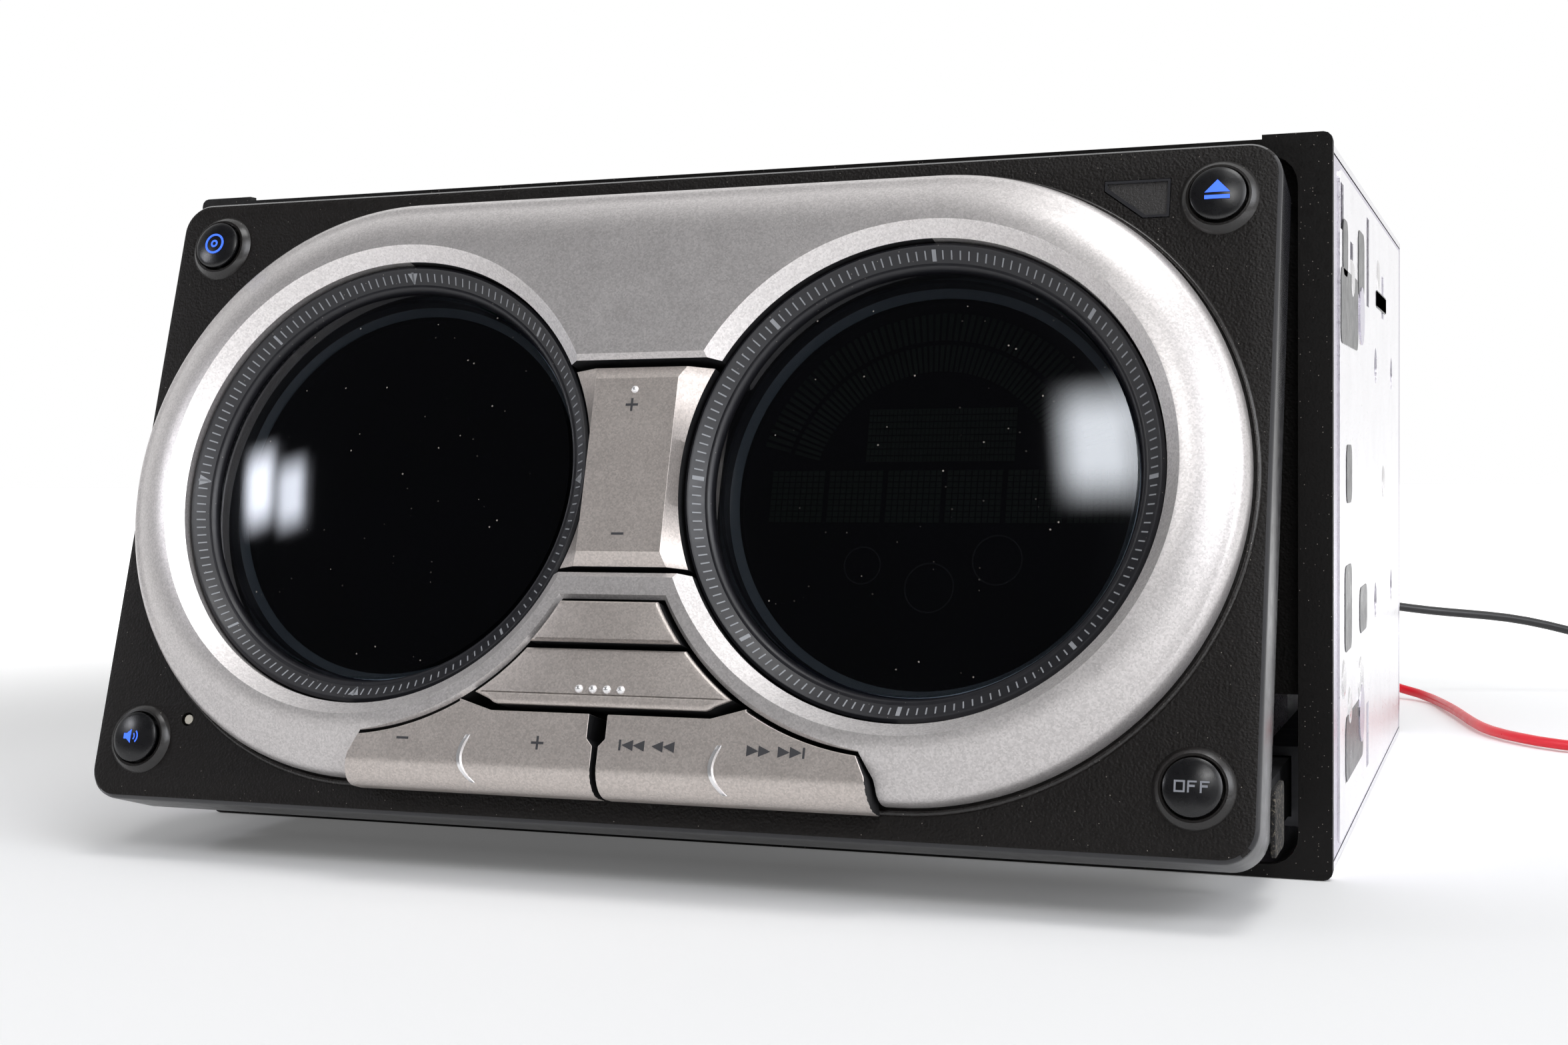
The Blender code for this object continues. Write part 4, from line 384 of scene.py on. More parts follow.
def smoked_lens():
    """Dark polished lens through which the display shows faintly."""
    alpha = bpy.context.scene.head_unit_dials.lens_alpha
    tree = Tree("smoked_lens", (0.001, 0.001, 0.002), 0.02)
    tree.set("IOR", 1.5)
    tree.set("Alpha", alpha)
    tree.set("Coat Weight", 1.0)
    tree.set("Coat IOR", 1.6)
    tree.set("Coat Roughness", 0.05)
    tree.set("Specular Tint", (0.75, 0.85, 1.0, 1))
    tint = tree.mix(tree.noise(0.02, 2.0), (0.0004, 0.0004, 0.0006), (0.001, 0.001, 0.002))
    tree.color(dust_and_glint_specks(tree, tint, 0.05, 0.0010, 0.8, 0.12))
    return tree.mat


def dress(node, mat, edge=0.0, segments=2):
    """Give a CAD node its finish and broken edges."""
    obj = NODES[node]
    obj.data.materials.clear()
    obj.data.materials.append(mat)
    if edge:
        soften(obj, edge, segments)
    return obj


def soften(obj, width, segments=2, angle=32):
    """Rounded edges and smooth shading."""
    mod = obj.modifiers.new("edges", "BEVEL")
    mod.width = width
    mod.segments = segments
    mod.limit_method = "ANGLE"
    mod.angle_limit = math.radians(angle)
    mod.harden_normals = True
    return obj


def put(name, bm, mat, body, place=None):
    """Turn the shape into a piece that rides on a body."""
    mesh = bpy.data.meshes.new(name)
    bmesh.ops.recalc_face_normals(bm, faces=bm.faces)
    bm.to_mesh(mesh)
    bm.free()
    mesh.materials.append(mat)
    obj = bpy.data.objects.new(name, mesh)
    bpy.context.scene.collection.objects.link(obj)
    if place is not None:
        obj.matrix_world = place
    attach(obj, body)
    return obj


def stand_for(obj, *nodes):
    """The piece stands in for these nodes, which are hidden."""
    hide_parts(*nodes)
    return obj


def smooth(obj, angle=30):
    """Smooth shading with sharp edges kept."""
    obj.data.shade_smooth()
    obj.data.set_sharp_from_angle(angle=math.radians(angle))
    return obj


def walls(bm, loops, closed=False):
    """Side faces between closed loops of 3D points, and the rows of their corners."""
    rows = [[bm.verts.new(point) for point in loop] for loop in loops]
    for lower, upper in zip(rows, rows[1:] + rows[:1] if closed else rows[1:]):
        for index in range(len(lower)):
            other = (index + 1) % len(lower)
            bm.faces.new((lower[index], lower[other], upper[other], upper[index]))
    return rows


def loft(bm, loops):
    """The walls between the loops, and both end caps."""
    rows = walls(bm, loops)
    bm.faces.new(list(reversed(rows[0])))
    bm.faces.new(rows[-1])
    return bm


def ring_band(loops):
    """A closed band whose cross-section runs through the loops and back."""
    bm = bmesh.new()
    walls(bm, loops, closed=True)
    return bm


def prism(bm, loop, low, high):
    """A straight prism on an outline."""
    return loft(bm, [[(x, y, low) for x, y in loop], [(x, y, high) for x, y in loop]])


def lathe(profile, steps=96, closed=False):
    """A turned shape about Z from (radius, height) points."""
    bm = bmesh.new()
    rows = []
    for radius, height in profile:
        if radius < 1e-7:
            rows.append([bm.verts.new((0, 0, height))])
            continue
        rows.append([bm.verts.new((radius * math.cos(2 * math.pi * step / steps),
                                   radius * math.sin(2 * math.pi * step / steps), height))
                     for step in range(steps)])
    pairs = list(zip(rows, rows[1:]))
    if closed:
        pairs.append((rows[-1], rows[0]))
    for lower, upper in pairs:
        for step in range(steps):
            other = (step + 1) % steps
            if len(lower) == 1 and len(upper) == 1:
                continue
            if len(lower) == 1:
                bm.faces.new((lower[0], upper[other], upper[step]))
            elif len(upper) == 1:
                bm.faces.new((lower[step], lower[other], upper[0]))
            else:
                bm.faces.new((lower[step], lower[other], upper[other], upper[step]))
    return bm


def arc(middle, radius, start, end, steps):
    """Points along an arc, angles in degrees."""
    return [(middle[0] + radius * math.cos(math.radians(start + (end - start) * step / steps)),
             middle[1] + radius * math.sin(math.radians(start + (end - start) * step / steps)))
            for step in range(steps + 1)]


def rounded(left, right, low, high, radius, steps=8):
    """A rectangle with round corners."""
    points = arc((right - radius, low + radius), radius, 270, 360, steps)
    points += arc((right - radius, high - radius), radius, 0, 90, steps)
    points += arc((left + radius, high - radius), radius, 90, 180, steps)
    points += arc((left + radius, low + radius), radius, 180, 270, steps)
    return points


def mirrored(points):
    """The same points on the other side of the middle, in reverse order."""
    return [(-across, up) for across, up in reversed(points)]


def cutter(bm):
    """A tool object for one Boolean."""
    mesh = bpy.data.meshes.new("tool")
    bmesh.ops.recalc_face_normals(bm, faces=bm.faces)
    bm.to_mesh(mesh)
    bm.free()
    obj = bpy.data.objects.new("tool", mesh)
    bpy.context.scene.collection.objects.link(obj)
    return obj


def carve(bm, tools, how="DIFFERENCE"):
    """The shape after Booleans with the tools, all in the same coordinates."""
    target = cutter(bm)
    made = [cutter(tool) for tool in tools]
    for tool in made:
        mod = target.modifiers.new("cut", "BOOLEAN")
        mod.operation = how
        mod.object = tool
        mod.solver = "EXACT"
    graph = bpy.context.evaluated_depsgraph_get()
    mesh = bpy.data.meshes.new_from_object(target.evaluated_get(graph))
    result = bmesh.new()
    result.from_mesh(mesh)
    bmesh.ops.remove_doubles(result, verts=result.verts, dist=0.000002)
    for obj in [target] + made:
        bpy.data.objects.remove(obj)
    bpy.data.meshes.remove(mesh)
    return result


def arc_start_deg(level, radius):
    """The angle at which a ring's arc of this radius meets a level line."""
    return 180 + math.degrees(math.asin(-level / radius))


def key_zone(margin):
    """The opening for the mode, source and rocker keys, widened by a margin."""
    radius = ARC_RADIUS - margin
    top = -0.01755 + margin
    right = arc((RING_HALF, 0), radius, arc_start_deg(top, radius), 264, 40)
    right += [(0.0374 + margin, -0.0395), (0.0382 + margin, -BEZEL_RADIUS - 0.002)]
    return right + mirrored(right)


def bezel_height(inward):
    """The bezel's height at this distance in from its outer edge."""
    edge = 0.0018
    crown = 0.0080
    rest = 0.0125
    start = 0.0014
    if inward <= edge:
        turn = math.acos(1 - inward / edge)
        return start - (start - BEZEL_BASE - 0.0012) * (1 - math.sin(turn))
    if inward <= crown:
        share = (inward - edge) / (crown - edge)
        return start + (0.0039 - start) * (1.72 * share - 0.72 * share * share)
    share = min(1.0, (inward - crown) / (rest - crown))
    return 0.0039 + 0.00012 * (2 * share - share * share)


def stadium(radius):
    """The outline around both dials at this distance from their centres."""
    return (arc((RING_HALF, 0), radius, -90, 90, 72)
            + arc((-RING_HALF, 0), radius, 90, 270, 72))


def paint_shade_on_walls(bm, level):
    """Give the steep faces of openings below a level the second material, a near black painted
    shade.
    """
    bm.normal_update()
    for face in bm.faces:
        if abs(face.normal.z) < STEEP and face.calc_center_median().z < level:
            face.material_index = 1


def painted_gap_shade():
    """Near black painted shade for the walls of the gaps between the keys, in place of their own
    silver paint.
    """
    return bpy.data.materials.get("painted_gap_shade") or plain("painted_gap_shade", (0.006, 0.006, 0.007), 0.6)


def build_bezel():
    """The silver bezel: a domed stadium with two flared bores and the key openings."""
    loops = []
    offsets = [0.0, 0.0]
    offsets += [0.0018 * (1 - math.cos(math.radians(angle))) for angle in range(15, 91, 15)]
    offsets += [0.0018 + 0.0062 * step / 6 for step in range(1, 7)]
    offsets += [0.0095, 0.0110, 0.0125]
    for index, inward in enumerate(offsets):
        height = BEZEL_BASE if index == 0 else bezel_height(inward)
        radius = BEZEL_RADIUS - inward
        loops.append([(u, v, height) for u, v in stadium(radius)])
    body = loft(bmesh.new(), loops)
    top = 0.006
    below = BEZEL_BASE - 0.002
    tools = []
    for side in (-1, 1):
        flare = BORE_RADIUS + (top - FLARE_FOOT) * FLARE_SLOPE
        bore = lathe([(0, top), (flare, top), (BORE_RADIUS, FLARE_FOOT), (BORE_RADIUS, below),
                      (0, below)], 160)
        bmesh.ops.translate(bore, vec=(side * RING_HALF, 0, 0), verts=bore.verts)
        tools.append(bore)
    wide = RING_HALF - BORE_RADIUS * math.cos(math.radians(32))
    notch = [(below, -0.0139), (below, 0.0160), (0.0033, 0.0160), (top, 0.0160 + top - 0.0033),
             (top, -0.0139 - top + 0.0033), (0.0033, -0.0139)]
    tools.append(loft(bmesh.new(), [[(u, v, w) for w, v in notch] for u in (-wide, wide)]))
    tools.append(prism(bmesh.new(), key_zone(0), below, top))
    tools.append(loft(bmesh.new(), [[(u, v, 0.0034) for u, v in key_zone(0)],
                                    [(u, v, 0.0048) for u, v in key_zone(0.0012)]]))
    loops = []
    for outward, height in ((0.00035, PANEL_FACE - 0.0002), (0.00035, PANEL_FACE + 0.00035),
                            (0.0006, PANEL_FACE + 0.0005), (0.0009, PANEL_FACE + 0.0003),
                            (0.0012, PANEL_FACE - 0.0002)):
        radius = BEZEL_RADIUS + outward
        loops.append([(u, v, height) for u, v in stadium(radius)])
    lip = ring_band(loops)
    # The lip's grain is a little lighter and dense with pale specks: painted glints for its
    # sparkle
    lip_look_painted_glints = coated(black_grain("lip_black_painted_glints", 0.6, 1.6, 0.0002), 0.7)
    put("bezel_lip", lip, lip_look_painted_glints, "front_panel", PANEL).data.shade_smooth()
    shape = carve(body, tools)
    shape.normal_update()
    for face in shape.faces:
        u, v, w = face.calc_center_median()
        radius = math.hypot(abs(u) - RING_HALF, v)
        sloped = STEEP < face.normal.z < 0.9
        # Walls of the openings in the middle take the near black painted shade (material 2)
        if abs(face.normal.z) < 0.2 and abs(u) < 0.039 and abs(v) < BEZEL_RADIUS - 0.0005:
            face.material_index = 2
        # The flare faces get the silver paint made 1.5 times lighter: a painted highlight for the
        # rounded flare catching the light
        reach = BORE_RADIUS + (w - FLARE_FOOT) * FLARE_SLOPE + 0.0002
        if sloped and 0.0014 < w and radius < reach:
            face.material_index = 1
    piece = put("bezel", shape, silver_paint(), "front_panel", PANEL)
    piece.data.materials.append(silver_paint("flare_silver_painted_highlight", 1.5))
    piece.data.materials.append(painted_gap_shade())
    return stand_for(smooth(piece, 24), "silver_bezel")


def build_shell():
    """The black front moulding with dished rims around the corner buttons."""
    loops = []
    for inset, depth in ((0, -0.0130), (0, -0.0041), (0.00012, -0.00355), (0.0005, -0.00312),
                         (0.0010, PANEL_FACE)):
        edge = rounded(-PANEL_HALF + inset, PANEL_HALF - inset, PANEL_LOW + inset,
                       PANEL_HIGH - inset, PANEL_RADIUS - inset, 10)
        loops.append([(u, v, depth) for u, v in edge])
    body = loft(bmesh.new(), loops)
    tools = []
    room = rounded(-PANEL_HALF + 0.0018, PANEL_HALF - 0.0018, PANEL_LOW + 0.0018,
                   PANEL_HIGH - 0.0018, PANEL_RADIUS - 0.0018)
    tools.append(prism(bmesh.new(), room, -0.016, -0.0055))
    for side in (-1, 1):
        bore = arc((side * RING_HALF, 0), 0.0291, 0, 357.5, 143)
        tools.append(prism(bmesh.new(), bore, -0.006, 0.001))
        for end in (-1, 1):
            dish = lathe([(0, 0.001), (0.0040, 0.001), (0.0040, -0.0040), (0.0027, -0.0040),
                          (0.0027, -0.0062), (0, -0.0062)], 64)
            bmesh.ops.translate(dish, vec=(side * CORNER_U, end * CORNER_V, 0), verts=dish.verts)
            tools.append(dish)
    reset = arc((-0.0685, -0.0350), 0.0010, 0, 337.5, 15)
    tools.append(prism(bmesh.new(), reset, -0.006, 0.001))
    tools.append(prism(bmesh.new(), window_outline(0), PANEL_FACE - 0.0005, 0.001))
    for index, (across, up) in enumerate(stem_spots()):
        slot = 0.0025 if index in (2, 3) else 0.0028
        hole = bar(across - slot, across + slot, up - slot, up + slot)
        tools.append(prism(bmesh.new(), hole, -0.006, 0.001))
    shape = carve(body, tools)
    shape.normal_update()
    for face in shape.faces:
        u, v = face.calc_center_median().xy
        inside = min(PANEL_HALF - abs(u), v - PANEL_LOW, PANEL_HIGH - v)
        if inside < EDGE_BAND and face.normal.z < 0.9:
            face.material_index = 1
    piece = put("front_moulding", shape, black_grain(), "front_panel", PANEL)
    edge_look = satin_black("edge_gloss", (0.010, 0.010, 0.013), 0.22)
    piece.data.materials.append(edge_look)
    stand_for(smooth(piece, 35), "panel_shell")
    rim_look = coated(black_grain("dish_rim", 0.05, 1.0, 0.00005), 0.8, 0.16)
    for side in (-1, 1):
        for end in (-1, 1):
            profile = [(0.0038, PANEL_FACE - 0.0009), (0.0038, -0.0022), (0.0039, -0.0021),
                       (0.0042, -0.00212), (0.0046, -0.0024), (0.0049, -0.0027),
                       (0.0051, PANEL_FACE + 0.00002), (0.0051, PANEL_FACE - 0.0009)]
            rim = lathe(profile, 72, closed=True)
            place = PANEL @ Matrix.Translation((side * CORNER_U, end * CORNER_V, 0))
            title = "dish_rim_%s_%s" % ("right" if side > 0 else "left",
                                        "top" if end > 0 else "low")
            smooth(put(title, rim, rim_look, "front_panel", place))


def stem_spots():
    """Where the key stems pass through the moulding."""
    spots = [(0, 0.0079625), (0, -0.0060125), (0, -0.020875), (0, -0.02825)]
    for side in (-1, 1):
        spots += [(side * 0.009, -0.0383), (side * 0.027, -0.0383)]
    return spots


def stem_block(bm, across, up):
    """A square stem behind a key."""
    half = 0.0022
    loop = bar(across - half, across + half, up - half, up + half)
    return prism(bm, loop, KEY_STEM_BACK, KEY_BACK + 0.0005)


def crowned(loop, back, face, edge=0.0006):
    """A key cap on an outline with a rounded front edge."""
    loops = [[(u, v, back) for u, v in loop]]
    for angle in (0, 30, 60, 90):
        inset = edge * (1 - math.cos(math.radians(angle)))
        height = face - edge * (1 - math.sin(math.radians(angle)))
        loops.append([(u, v, height) for u, v in inset_loop(loop, inset)])
    return loft(bmesh.new(), loops)


def inset_loop(loop, distance):
    """The closed outline moved inward, for a loop that runs clockwise or not."""
    if not distance:
        return list(loop)
    area = sum(a[0] * b[1] - b[0] * a[1] for a, b in zip(loop, loop[1:] + loop[:1]))
    sign = 1 if area > 0 else -1
    result = []
    for index, point in enumerate(loop):
        before = Vector(point) - Vector(loop[index - 1])
        after = Vector(loop[(index + 1) % len(loop)]) - Vector(point)
        first = Vector((-before.y, before.x)).normalized() * sign
        second = Vector((-after.y, after.x)).normalized() * sign
        normal = (first + second)
        size = max(0.5, normal.length_squared / 2)
        result.append(tuple(Vector(point) + normal * distance / size))
    return result


def side_arc(top, low, steps):
    """The right flank of a key, along the arc around the right ring."""
    radius = ARC_RADIUS + 0.0006
    return arc((RING_HALF, 0), radius, arc_start_deg(top, radius), arc_start_deg(low, radius),
               steps)


def build_volume():
    """The tall rocker between the rings: flat face, ruled flanks and dropped ends."""
    radius = BORE_RADIUS + GAP
    low = -0.0130
    high = 0.01495
    edge = 0.0015
    loops = []
    for step in range(49):
        share = 0.5 - 0.5 * math.cos(math.pi * step / 48)
        up = low + (high - low) * share
        reach = min(up - low, high - up)
        drop = 0.0010 * max(0.0, 1 - reach / 0.0018)
        wide = RING_HALF - math.sqrt(radius * radius - up * up)
        face = 0.0061 + drop * 0.7
        top = VOLUME_FACE - drop
        half = [(wide, KEY_BACK), (wide, edge), (face, top)]
        loops.append([(u, up, w) for u, w in half]
                     + [(-u, up, w) for u, w in reversed(half)])
    body = loft(bmesh.new(), loops)
    body = carve(body, [stem_block(bmesh.new(), *spot) for spot in stem_spots()[:2]], "UNION")
    # The flanks below the face take a near black painted shade instead of the silver paint
    paint_shade_on_walls(body, 0.0022)
    piece = put("volume_key", body, silver_paint("key_paint", 0.95, True), "volume_rocker", PANEL)
    piece.data.materials.append(painted_gap_shade())
    soften(piece, 0.00022, 2, 22)
    stand_for(smooth(piece, 22), "volume_rocker")


def build_straight_keys():
    """The mode and source keys."""
    paint = bpy.data.materials["key_paint"]
    right = side_arc(-0.0181, -0.02365, 12)
    loop = right + mirrored(right)
    body = carve(crowned(loop, KEY_BACK, MODE_FACE),
                 [stem_block(bmesh.new(), *stem_spots()[2])], "UNION")
    # The mode key's flanks take a near black painted shade instead of the silver paint
    paint_shade_on_walls(body, MODE_FACE - 0.0006)
    piece = put("mode_key", body, paint, "mode_button", PANEL)
    piece.data.materials.append(painted_gap_shade())
    stand_for(smooth(piece, 28), "mode_button")
    right = side_arc(-0.0244, -0.0306, 12)
    right += [(0.0162, -0.0315), (0.0156, -0.0319), (0.0150, -0.0321)]
    loop = right + mirrored(right)
    body = carve(crowned(loop, KEY_BACK, SOURCE_FACE),
                 [stem_block(bmesh.new(), *stem_spots()[3])], "UNION")
    # The source key's flanks take a near black painted shade instead of the silver paint
    paint_shade_on_walls(body, SOURCE_FACE - 0.0006)
    piece = put("source_key", body, paint, "source_button", PANEL)
    piece.data.materials.append(painted_gap_shade())
    stand_for(smooth(piece, 28), "source_button")


def build_rockers():
    """The disc and track rockers, with their rolled lower edge."""
    paint = bpy.data.materials["key_paint"]
    right = [(0.0004, -0.0436), (0.0004, -0.0372), (0.0013, -0.0362), (0.0013, -0.0330),
             (0.0157, -0.0330), (0.0206, -0.0316)]
    radius = ARC_RADIUS + 0.0006
    right += arc((RING_HALF, 0), radius, arc_start_deg(-0.0316, radius) + 1, 264, 20)
    right += [(0.0368, -0.0395), (0.0375, -0.0436)]
    roll = [(-0.0436, KEY_BACK)]
    roll += arc((ROLL_START, ROLL_LEVEL), ROLL_RADIUS, 180, 90, 14)
    crest = ROLL_LEVEL + ROLL_RADIUS
    roll += [(-0.029, crest), (-0.029, KEY_BACK)]
    for name, side, first in (("disc_rocker", -1, 4), ("track_rocker", 1, 6)):
        edge = right if side > 0 else mirrored(right)
        body = prism(bmesh.new(), edge, KEY_BACK, crest)
        tool = loft(bmesh.new(), [[(u, v, w) for v, w in roll] for u in (-0.05, 0.05)])
        body = carve(body, [tool], "INTERSECT")
        stems = [stem_block(bmesh.new(), *spot) for spot in stem_spots()[first:first + 2]]
        body = carve(body, stems, "UNION")
        body.normal_update()
        # Side walls take a near black painted shade instead of the silver paint
        for face in body.faces:
            if abs(face.normal.z) < STEEP and abs(face.normal.x) > 0.5:
                face.material_index = 1
        piece = put(name.replace("rocker", "key"), body, paint, name, PANEL)
        piece.data.materials.append(painted_gap_shade())
        soften(piece, 0.0003, 3)
        stand_for(smooth(piece, 24), name)


def build_dials():
    """Dial rings with their marks, domed lenses and the displays under them."""
    ring_look = satin_black("ring_black", (0.011, 0.011, 0.014), 0.38, 0.15)
    lens_look = smoked_lens()
    well_look = plain("well_blue", (0.62, 0.78, 1.0), 0.3)
    wall_look = satin_black("well_black", (0.003, 0.006, 0.02), 0.5)
    ring = [(0.0317, 0.0009), (0.0321, 0.0006), (0.0321, -0.0027), (0.0286, -0.0027),
            (0.0286, -0.0024), (0.02885, -0.0012), (0.0292, -0.00062), (0.0294, -0.00055),
            (0.0297, -0.0006), (0.0314, 0.0007), (0.03155, 0.00085)]
    rise = []
    for step in range(17):
        share = step / 16
        rise.append((0.0283 * share, -0.0012 + 0.0034 * (1 - share * share)))
    lens = rise + [(0.0283, -0.0030)]
    lens += [(radius, height - 0.0018) for radius, height in reversed(rise[:-1])]
    well = [(0.0269, -0.00625), (0.0281, -0.0058), (0.0281, -0.0061), (0.0269, -0.0065)]
    wall = [(0.0282, -0.0040), (0.0286, -0.0040), (0.0286, -0.0071), (0.0282, -0.0071)]
    for title, side in (("left", -1), ("right", 1)):
        place = PANEL @ Matrix.Translation((side * RING_HALF, 0, 0))
        piece = put("dial_ring_" + title, lathe(ring, 192, closed=True), ring_look,
                    "front_panel", place)
        stand_for(smooth(piece, 40), "ring_" + title)
        piece = put("dome_" + title, lathe(lens, 128), lens_look, "front_panel", place)
        stand_for(smooth(piece, 40), "lens_" + title)
        piece = put("well_" + title, lathe(well, 128, closed=True), well_look, "front_panel",
                    place)
        smooth(piece, 40)
        piece = put("well_wall_" + title, lathe(wall, 128, closed=True), wall_look, "front_panel",
                    place)
        smooth(piece, 40)
        build_ticks(title, place)
    build_display_marks()


def wedge(bm, angle, inner, outer, half_in, half_out, low, high):
    """A thin radial bar on the sloped ring face."""
    along = Vector((math.cos(angle), math.sin(angle)))
    across = Vector((-along.y, along.x))
    corners = ((inner, -half_in, low), (outer, -half_out, high), (outer, half_out, high),
               (inner, half_in, low))
    loops = []
    for lift in (-0.00005, 0.00005):
        loops.append([(*(along * radius + across * shift), height + lift)
                      for radius, shift, height in corners])
    loft(bm, loops)


def ring_surface(radius):
    """Height of the ring's marked face at this radius."""
    return -0.0006 + (radius - 0.0297) / 0.0017 * 0.0013


def build_ticks(title, place):
    """The fine marks and the bold ones on a dial ring."""
    dials = bpy.context.scene.head_unit_dials
    bm = bmesh.new()
    inner = dials.tick_inner
    outer = dials.tick_outer - 0.0002
    for index in range(dials.ticks):
        angle = 2 * math.pi * index / dials.ticks
        bold = index % (dials.ticks // 8) == 0
        if bold:
            half = 0.00028 if title == "right" else 0.00018
            wedge(bm, angle, inner - 0.0002, outer + 0.0001, half, half,
                  ring_surface(inner - 0.0002), ring_surface(outer + 0.0001))
        else:
            wedge(bm, angle, inner, outer, 0.00009, 0.00009, ring_surface(inner),
                  ring_surface(outer))
    if title == "left":
        for quarter in range(4):
            angle = math.pi / 2 * quarter
            wedge(bm, angle, inner - 0.0003, outer, 0.00005, 0.0008, ring_surface(inner - 0.0003),
                  ring_surface(outer))
    look = plain("mark_grey", (0.30, 0.31, 0.33), 0.5)
    put("marks_" + title, bm, look, "front_panel", place)


def build_display_marks():
    """Dot matrix and radial bars printed on the display glass."""
    place = PANEL @ Matrix.Translation((RING_HALF, 0, 0))
    bm = bmesh.new()
    face = -0.0071
    for index in range(65):
        angle = math.radians(16 + 148 * index / 64)
        wedge(bm, angle, 0.0168, 0.0205, 0.00020, 0.00024, face, face)
        wedge(bm, angle, 0.0212, 0.0250, 0.00025, 0.00030, face, face)
    cells(bm, 36, 8, (-0.0095, 0.0110), (0.0042, 0.0117), face)
    for block in range(6):
        left = -0.0226 + block * 0.0082
        cells(bm, 9, 9, (left, left + 0.0076), (-0.0042, 0.0031), face)
    put("display_cells", bm, plain("cell_green", (0.045, 0.085, 0.055), 0.6), "front_panel", place)
    bm = bmesh.new()
    for across, up, radius in ((-0.0088, -0.0101, 0.0024), (0.0006, -0.0130, 0.0032),
                               (0.0095, -0.0092, 0.0032)):
        ring = lathe([(radius, face), (radius + 0.0002, face), (radius + 0.0002, face + 0.00008),
                      (radius, face + 0.00008)], 40, closed=True)
        bmesh.ops.translate(ring, vec=(across, up, 0), verts=ring.verts)
        join(bm, ring)
    put("display_rings", bm, plain("cell_grey", (0.10, 0.11, 0.12), 0.6), "front_panel", place)


def cells(bm, columns, rows, across, up, face):
    """A grid of small display cells."""
    wide = (across[1] - across[0]) / columns
    tall = (up[1] - up[0]) / rows
    for row in range(rows):
        for column in range(columns):
            left = across[0] + column * wide
            low = up[0] + row * tall
            prism(bm, bar(left, left + wide * 0.84, low, low + tall * 0.84), face, face + 0.00006)


def join(bm, other):
    """Add the second shape to the first."""
    mesh = bpy.data.meshes.new("join")
    other.to_mesh(mesh)
    other.free()
    bm.from_mesh(mesh)
    bpy.data.meshes.remove(mesh)
    return bm


def bar(left, right, low, high):
    """A plain rectangle outline."""
    return [(left, low), (right, low), (right, high), (left, high)]


def disc(across, up, radius, steps=24):
    """A round outline."""
    return arc((across, up), radius, 0, 360 - 360 / steps, steps - 1)


def mark(bm, loop, height, lift=0.00004):
    """A thin mark that follows the surface under it."""
    loft(bm, [[(u, v, height(u, v) - 0.0001) for u, v in loop],
              [(u, v, height(u, v) + lift) for u, v in loop]])


def flat(height):
    """The height function of a flat face."""
    return lambda across, up: height


def rocker_face(across, up):
    """Height of the lower rockers' face, which rolls down at the foot."""
    drop = max(0.0, ROLL_START - up)
    return ROLL_LEVEL + math.sqrt(max(0.0, ROLL_RADIUS ** 2 - drop ** 2))


def sign(bm, centre, height, plus, half=0.0009, thick=0.00016):
    """A minus, or a plus, printed on a key."""
    u, v = centre
    mark(bm, bar(u - half, u + half, v - thick, v + thick), height)
    if plus:
        mark(bm, bar(u - thick, u + thick, v + thick, v + half), height)
        mark(bm, bar(u - thick, u + thick, v - half, v - thick), height)


def arrow(bm, tip, tail, up, height, half=0.00072):
    """A solid arrow head."""
    mark(bm, [(tip, up), (tail, up - half), (tail, up + half)], height)


def build_key_marks():
    """Signs, arrows, feeling dots and ridges on the silver keys; the dots and ridges are a near
    white silver, a painted highlight.
    """
    ink = plain("mark_ink", (0.045, 0.045, 0.05), 0.5)
    bm = bmesh.new()
    sign(bm, (-0.0003, 0.0093), flat(VOLUME_FACE), True)
    sign(bm, (-0.0003, -0.0087), flat(VOLUME_FACE), False)
    put("marks_volume", bm, ink, "volume_rocker", PANEL)
    bm = bmesh.new()
    dot(bm, -0.0001, 0.01145, flat(VOLUME_FACE))
    # Near white silver for the raised dots and ridges: a painted highlight
    bright = plain("dot_silver_painted_highlight", (0.88, 0.87, 0.88), 0.22, 0.7)
    smooth(put("dot_volume", bm, bright, "volume_rocker", PANEL), 60)
    bm = bmesh.new()
    for across in (-0.003, -0.001, 0.001, 0.003):
        dot(bm, across, -0.0298, flat(SOURCE_FACE), 0.0006)
    smooth(put("dots_source", bm, bright, "source_button", PANEL), 60)
    bm = bmesh.new()
    sign(bm, (-0.0285, -0.0372), rocker_face, False)
    sign(bm, (-0.0083, -0.0371), rocker_face, True)
    put("marks_disc", bm, ink, "disc_rocker", PANEL)
    bm = bmesh.new()
    level = -0.0369
    mark(bm, bar(0.0034, 0.0037, level - 0.0007, level + 0.0007), rocker_face)
    for tip in (0.0038, 0.0054, 0.0080, 0.0096):
        arrow(bm, tip, tip + 0.0016, level, rocker_face)
    for tail in (0.0211, 0.0227, 0.0253, 0.0269):
        arrow(bm, tail + 0.0016, tail, level, rocker_face)
    mark(bm, bar(0.0286, 0.0289, level - 0.0007, level + 0.0007), rocker_face)
    put("marks_track", bm, ink, "track_rocker", PANEL)
    for name, side in (("disc_rocker", -1), ("track_rocker", 1)):
        bm = bmesh.new()
        loops = []
        for step in range(17):
            share = step / 16
            up = -0.0364 - 0.0062 * share
            face = rocker_face(0, up)
            lift = 0.00005 + 0.00028 * min(1.0, math.sin(math.pi * share) * 2.2)
            middle = side * RIDGE_AT - 0.0006 - 0.0011 * math.sin(math.pi * share * 0.9)
            middle += 0.0012 * share ** 3
            foot = face - 0.0001
            loops.append([(middle - 0.00050, up, foot), (middle - 0.00030, up, face + lift),
                          (middle + 0.00020, up, face + lift), (middle + 0.00040, up, foot)])
        loft(bm, loops)
        title = "ridge_disc" if side < 0 else "ridge_track"
        smooth(put(title, bm, bright, name, PANEL), 50)


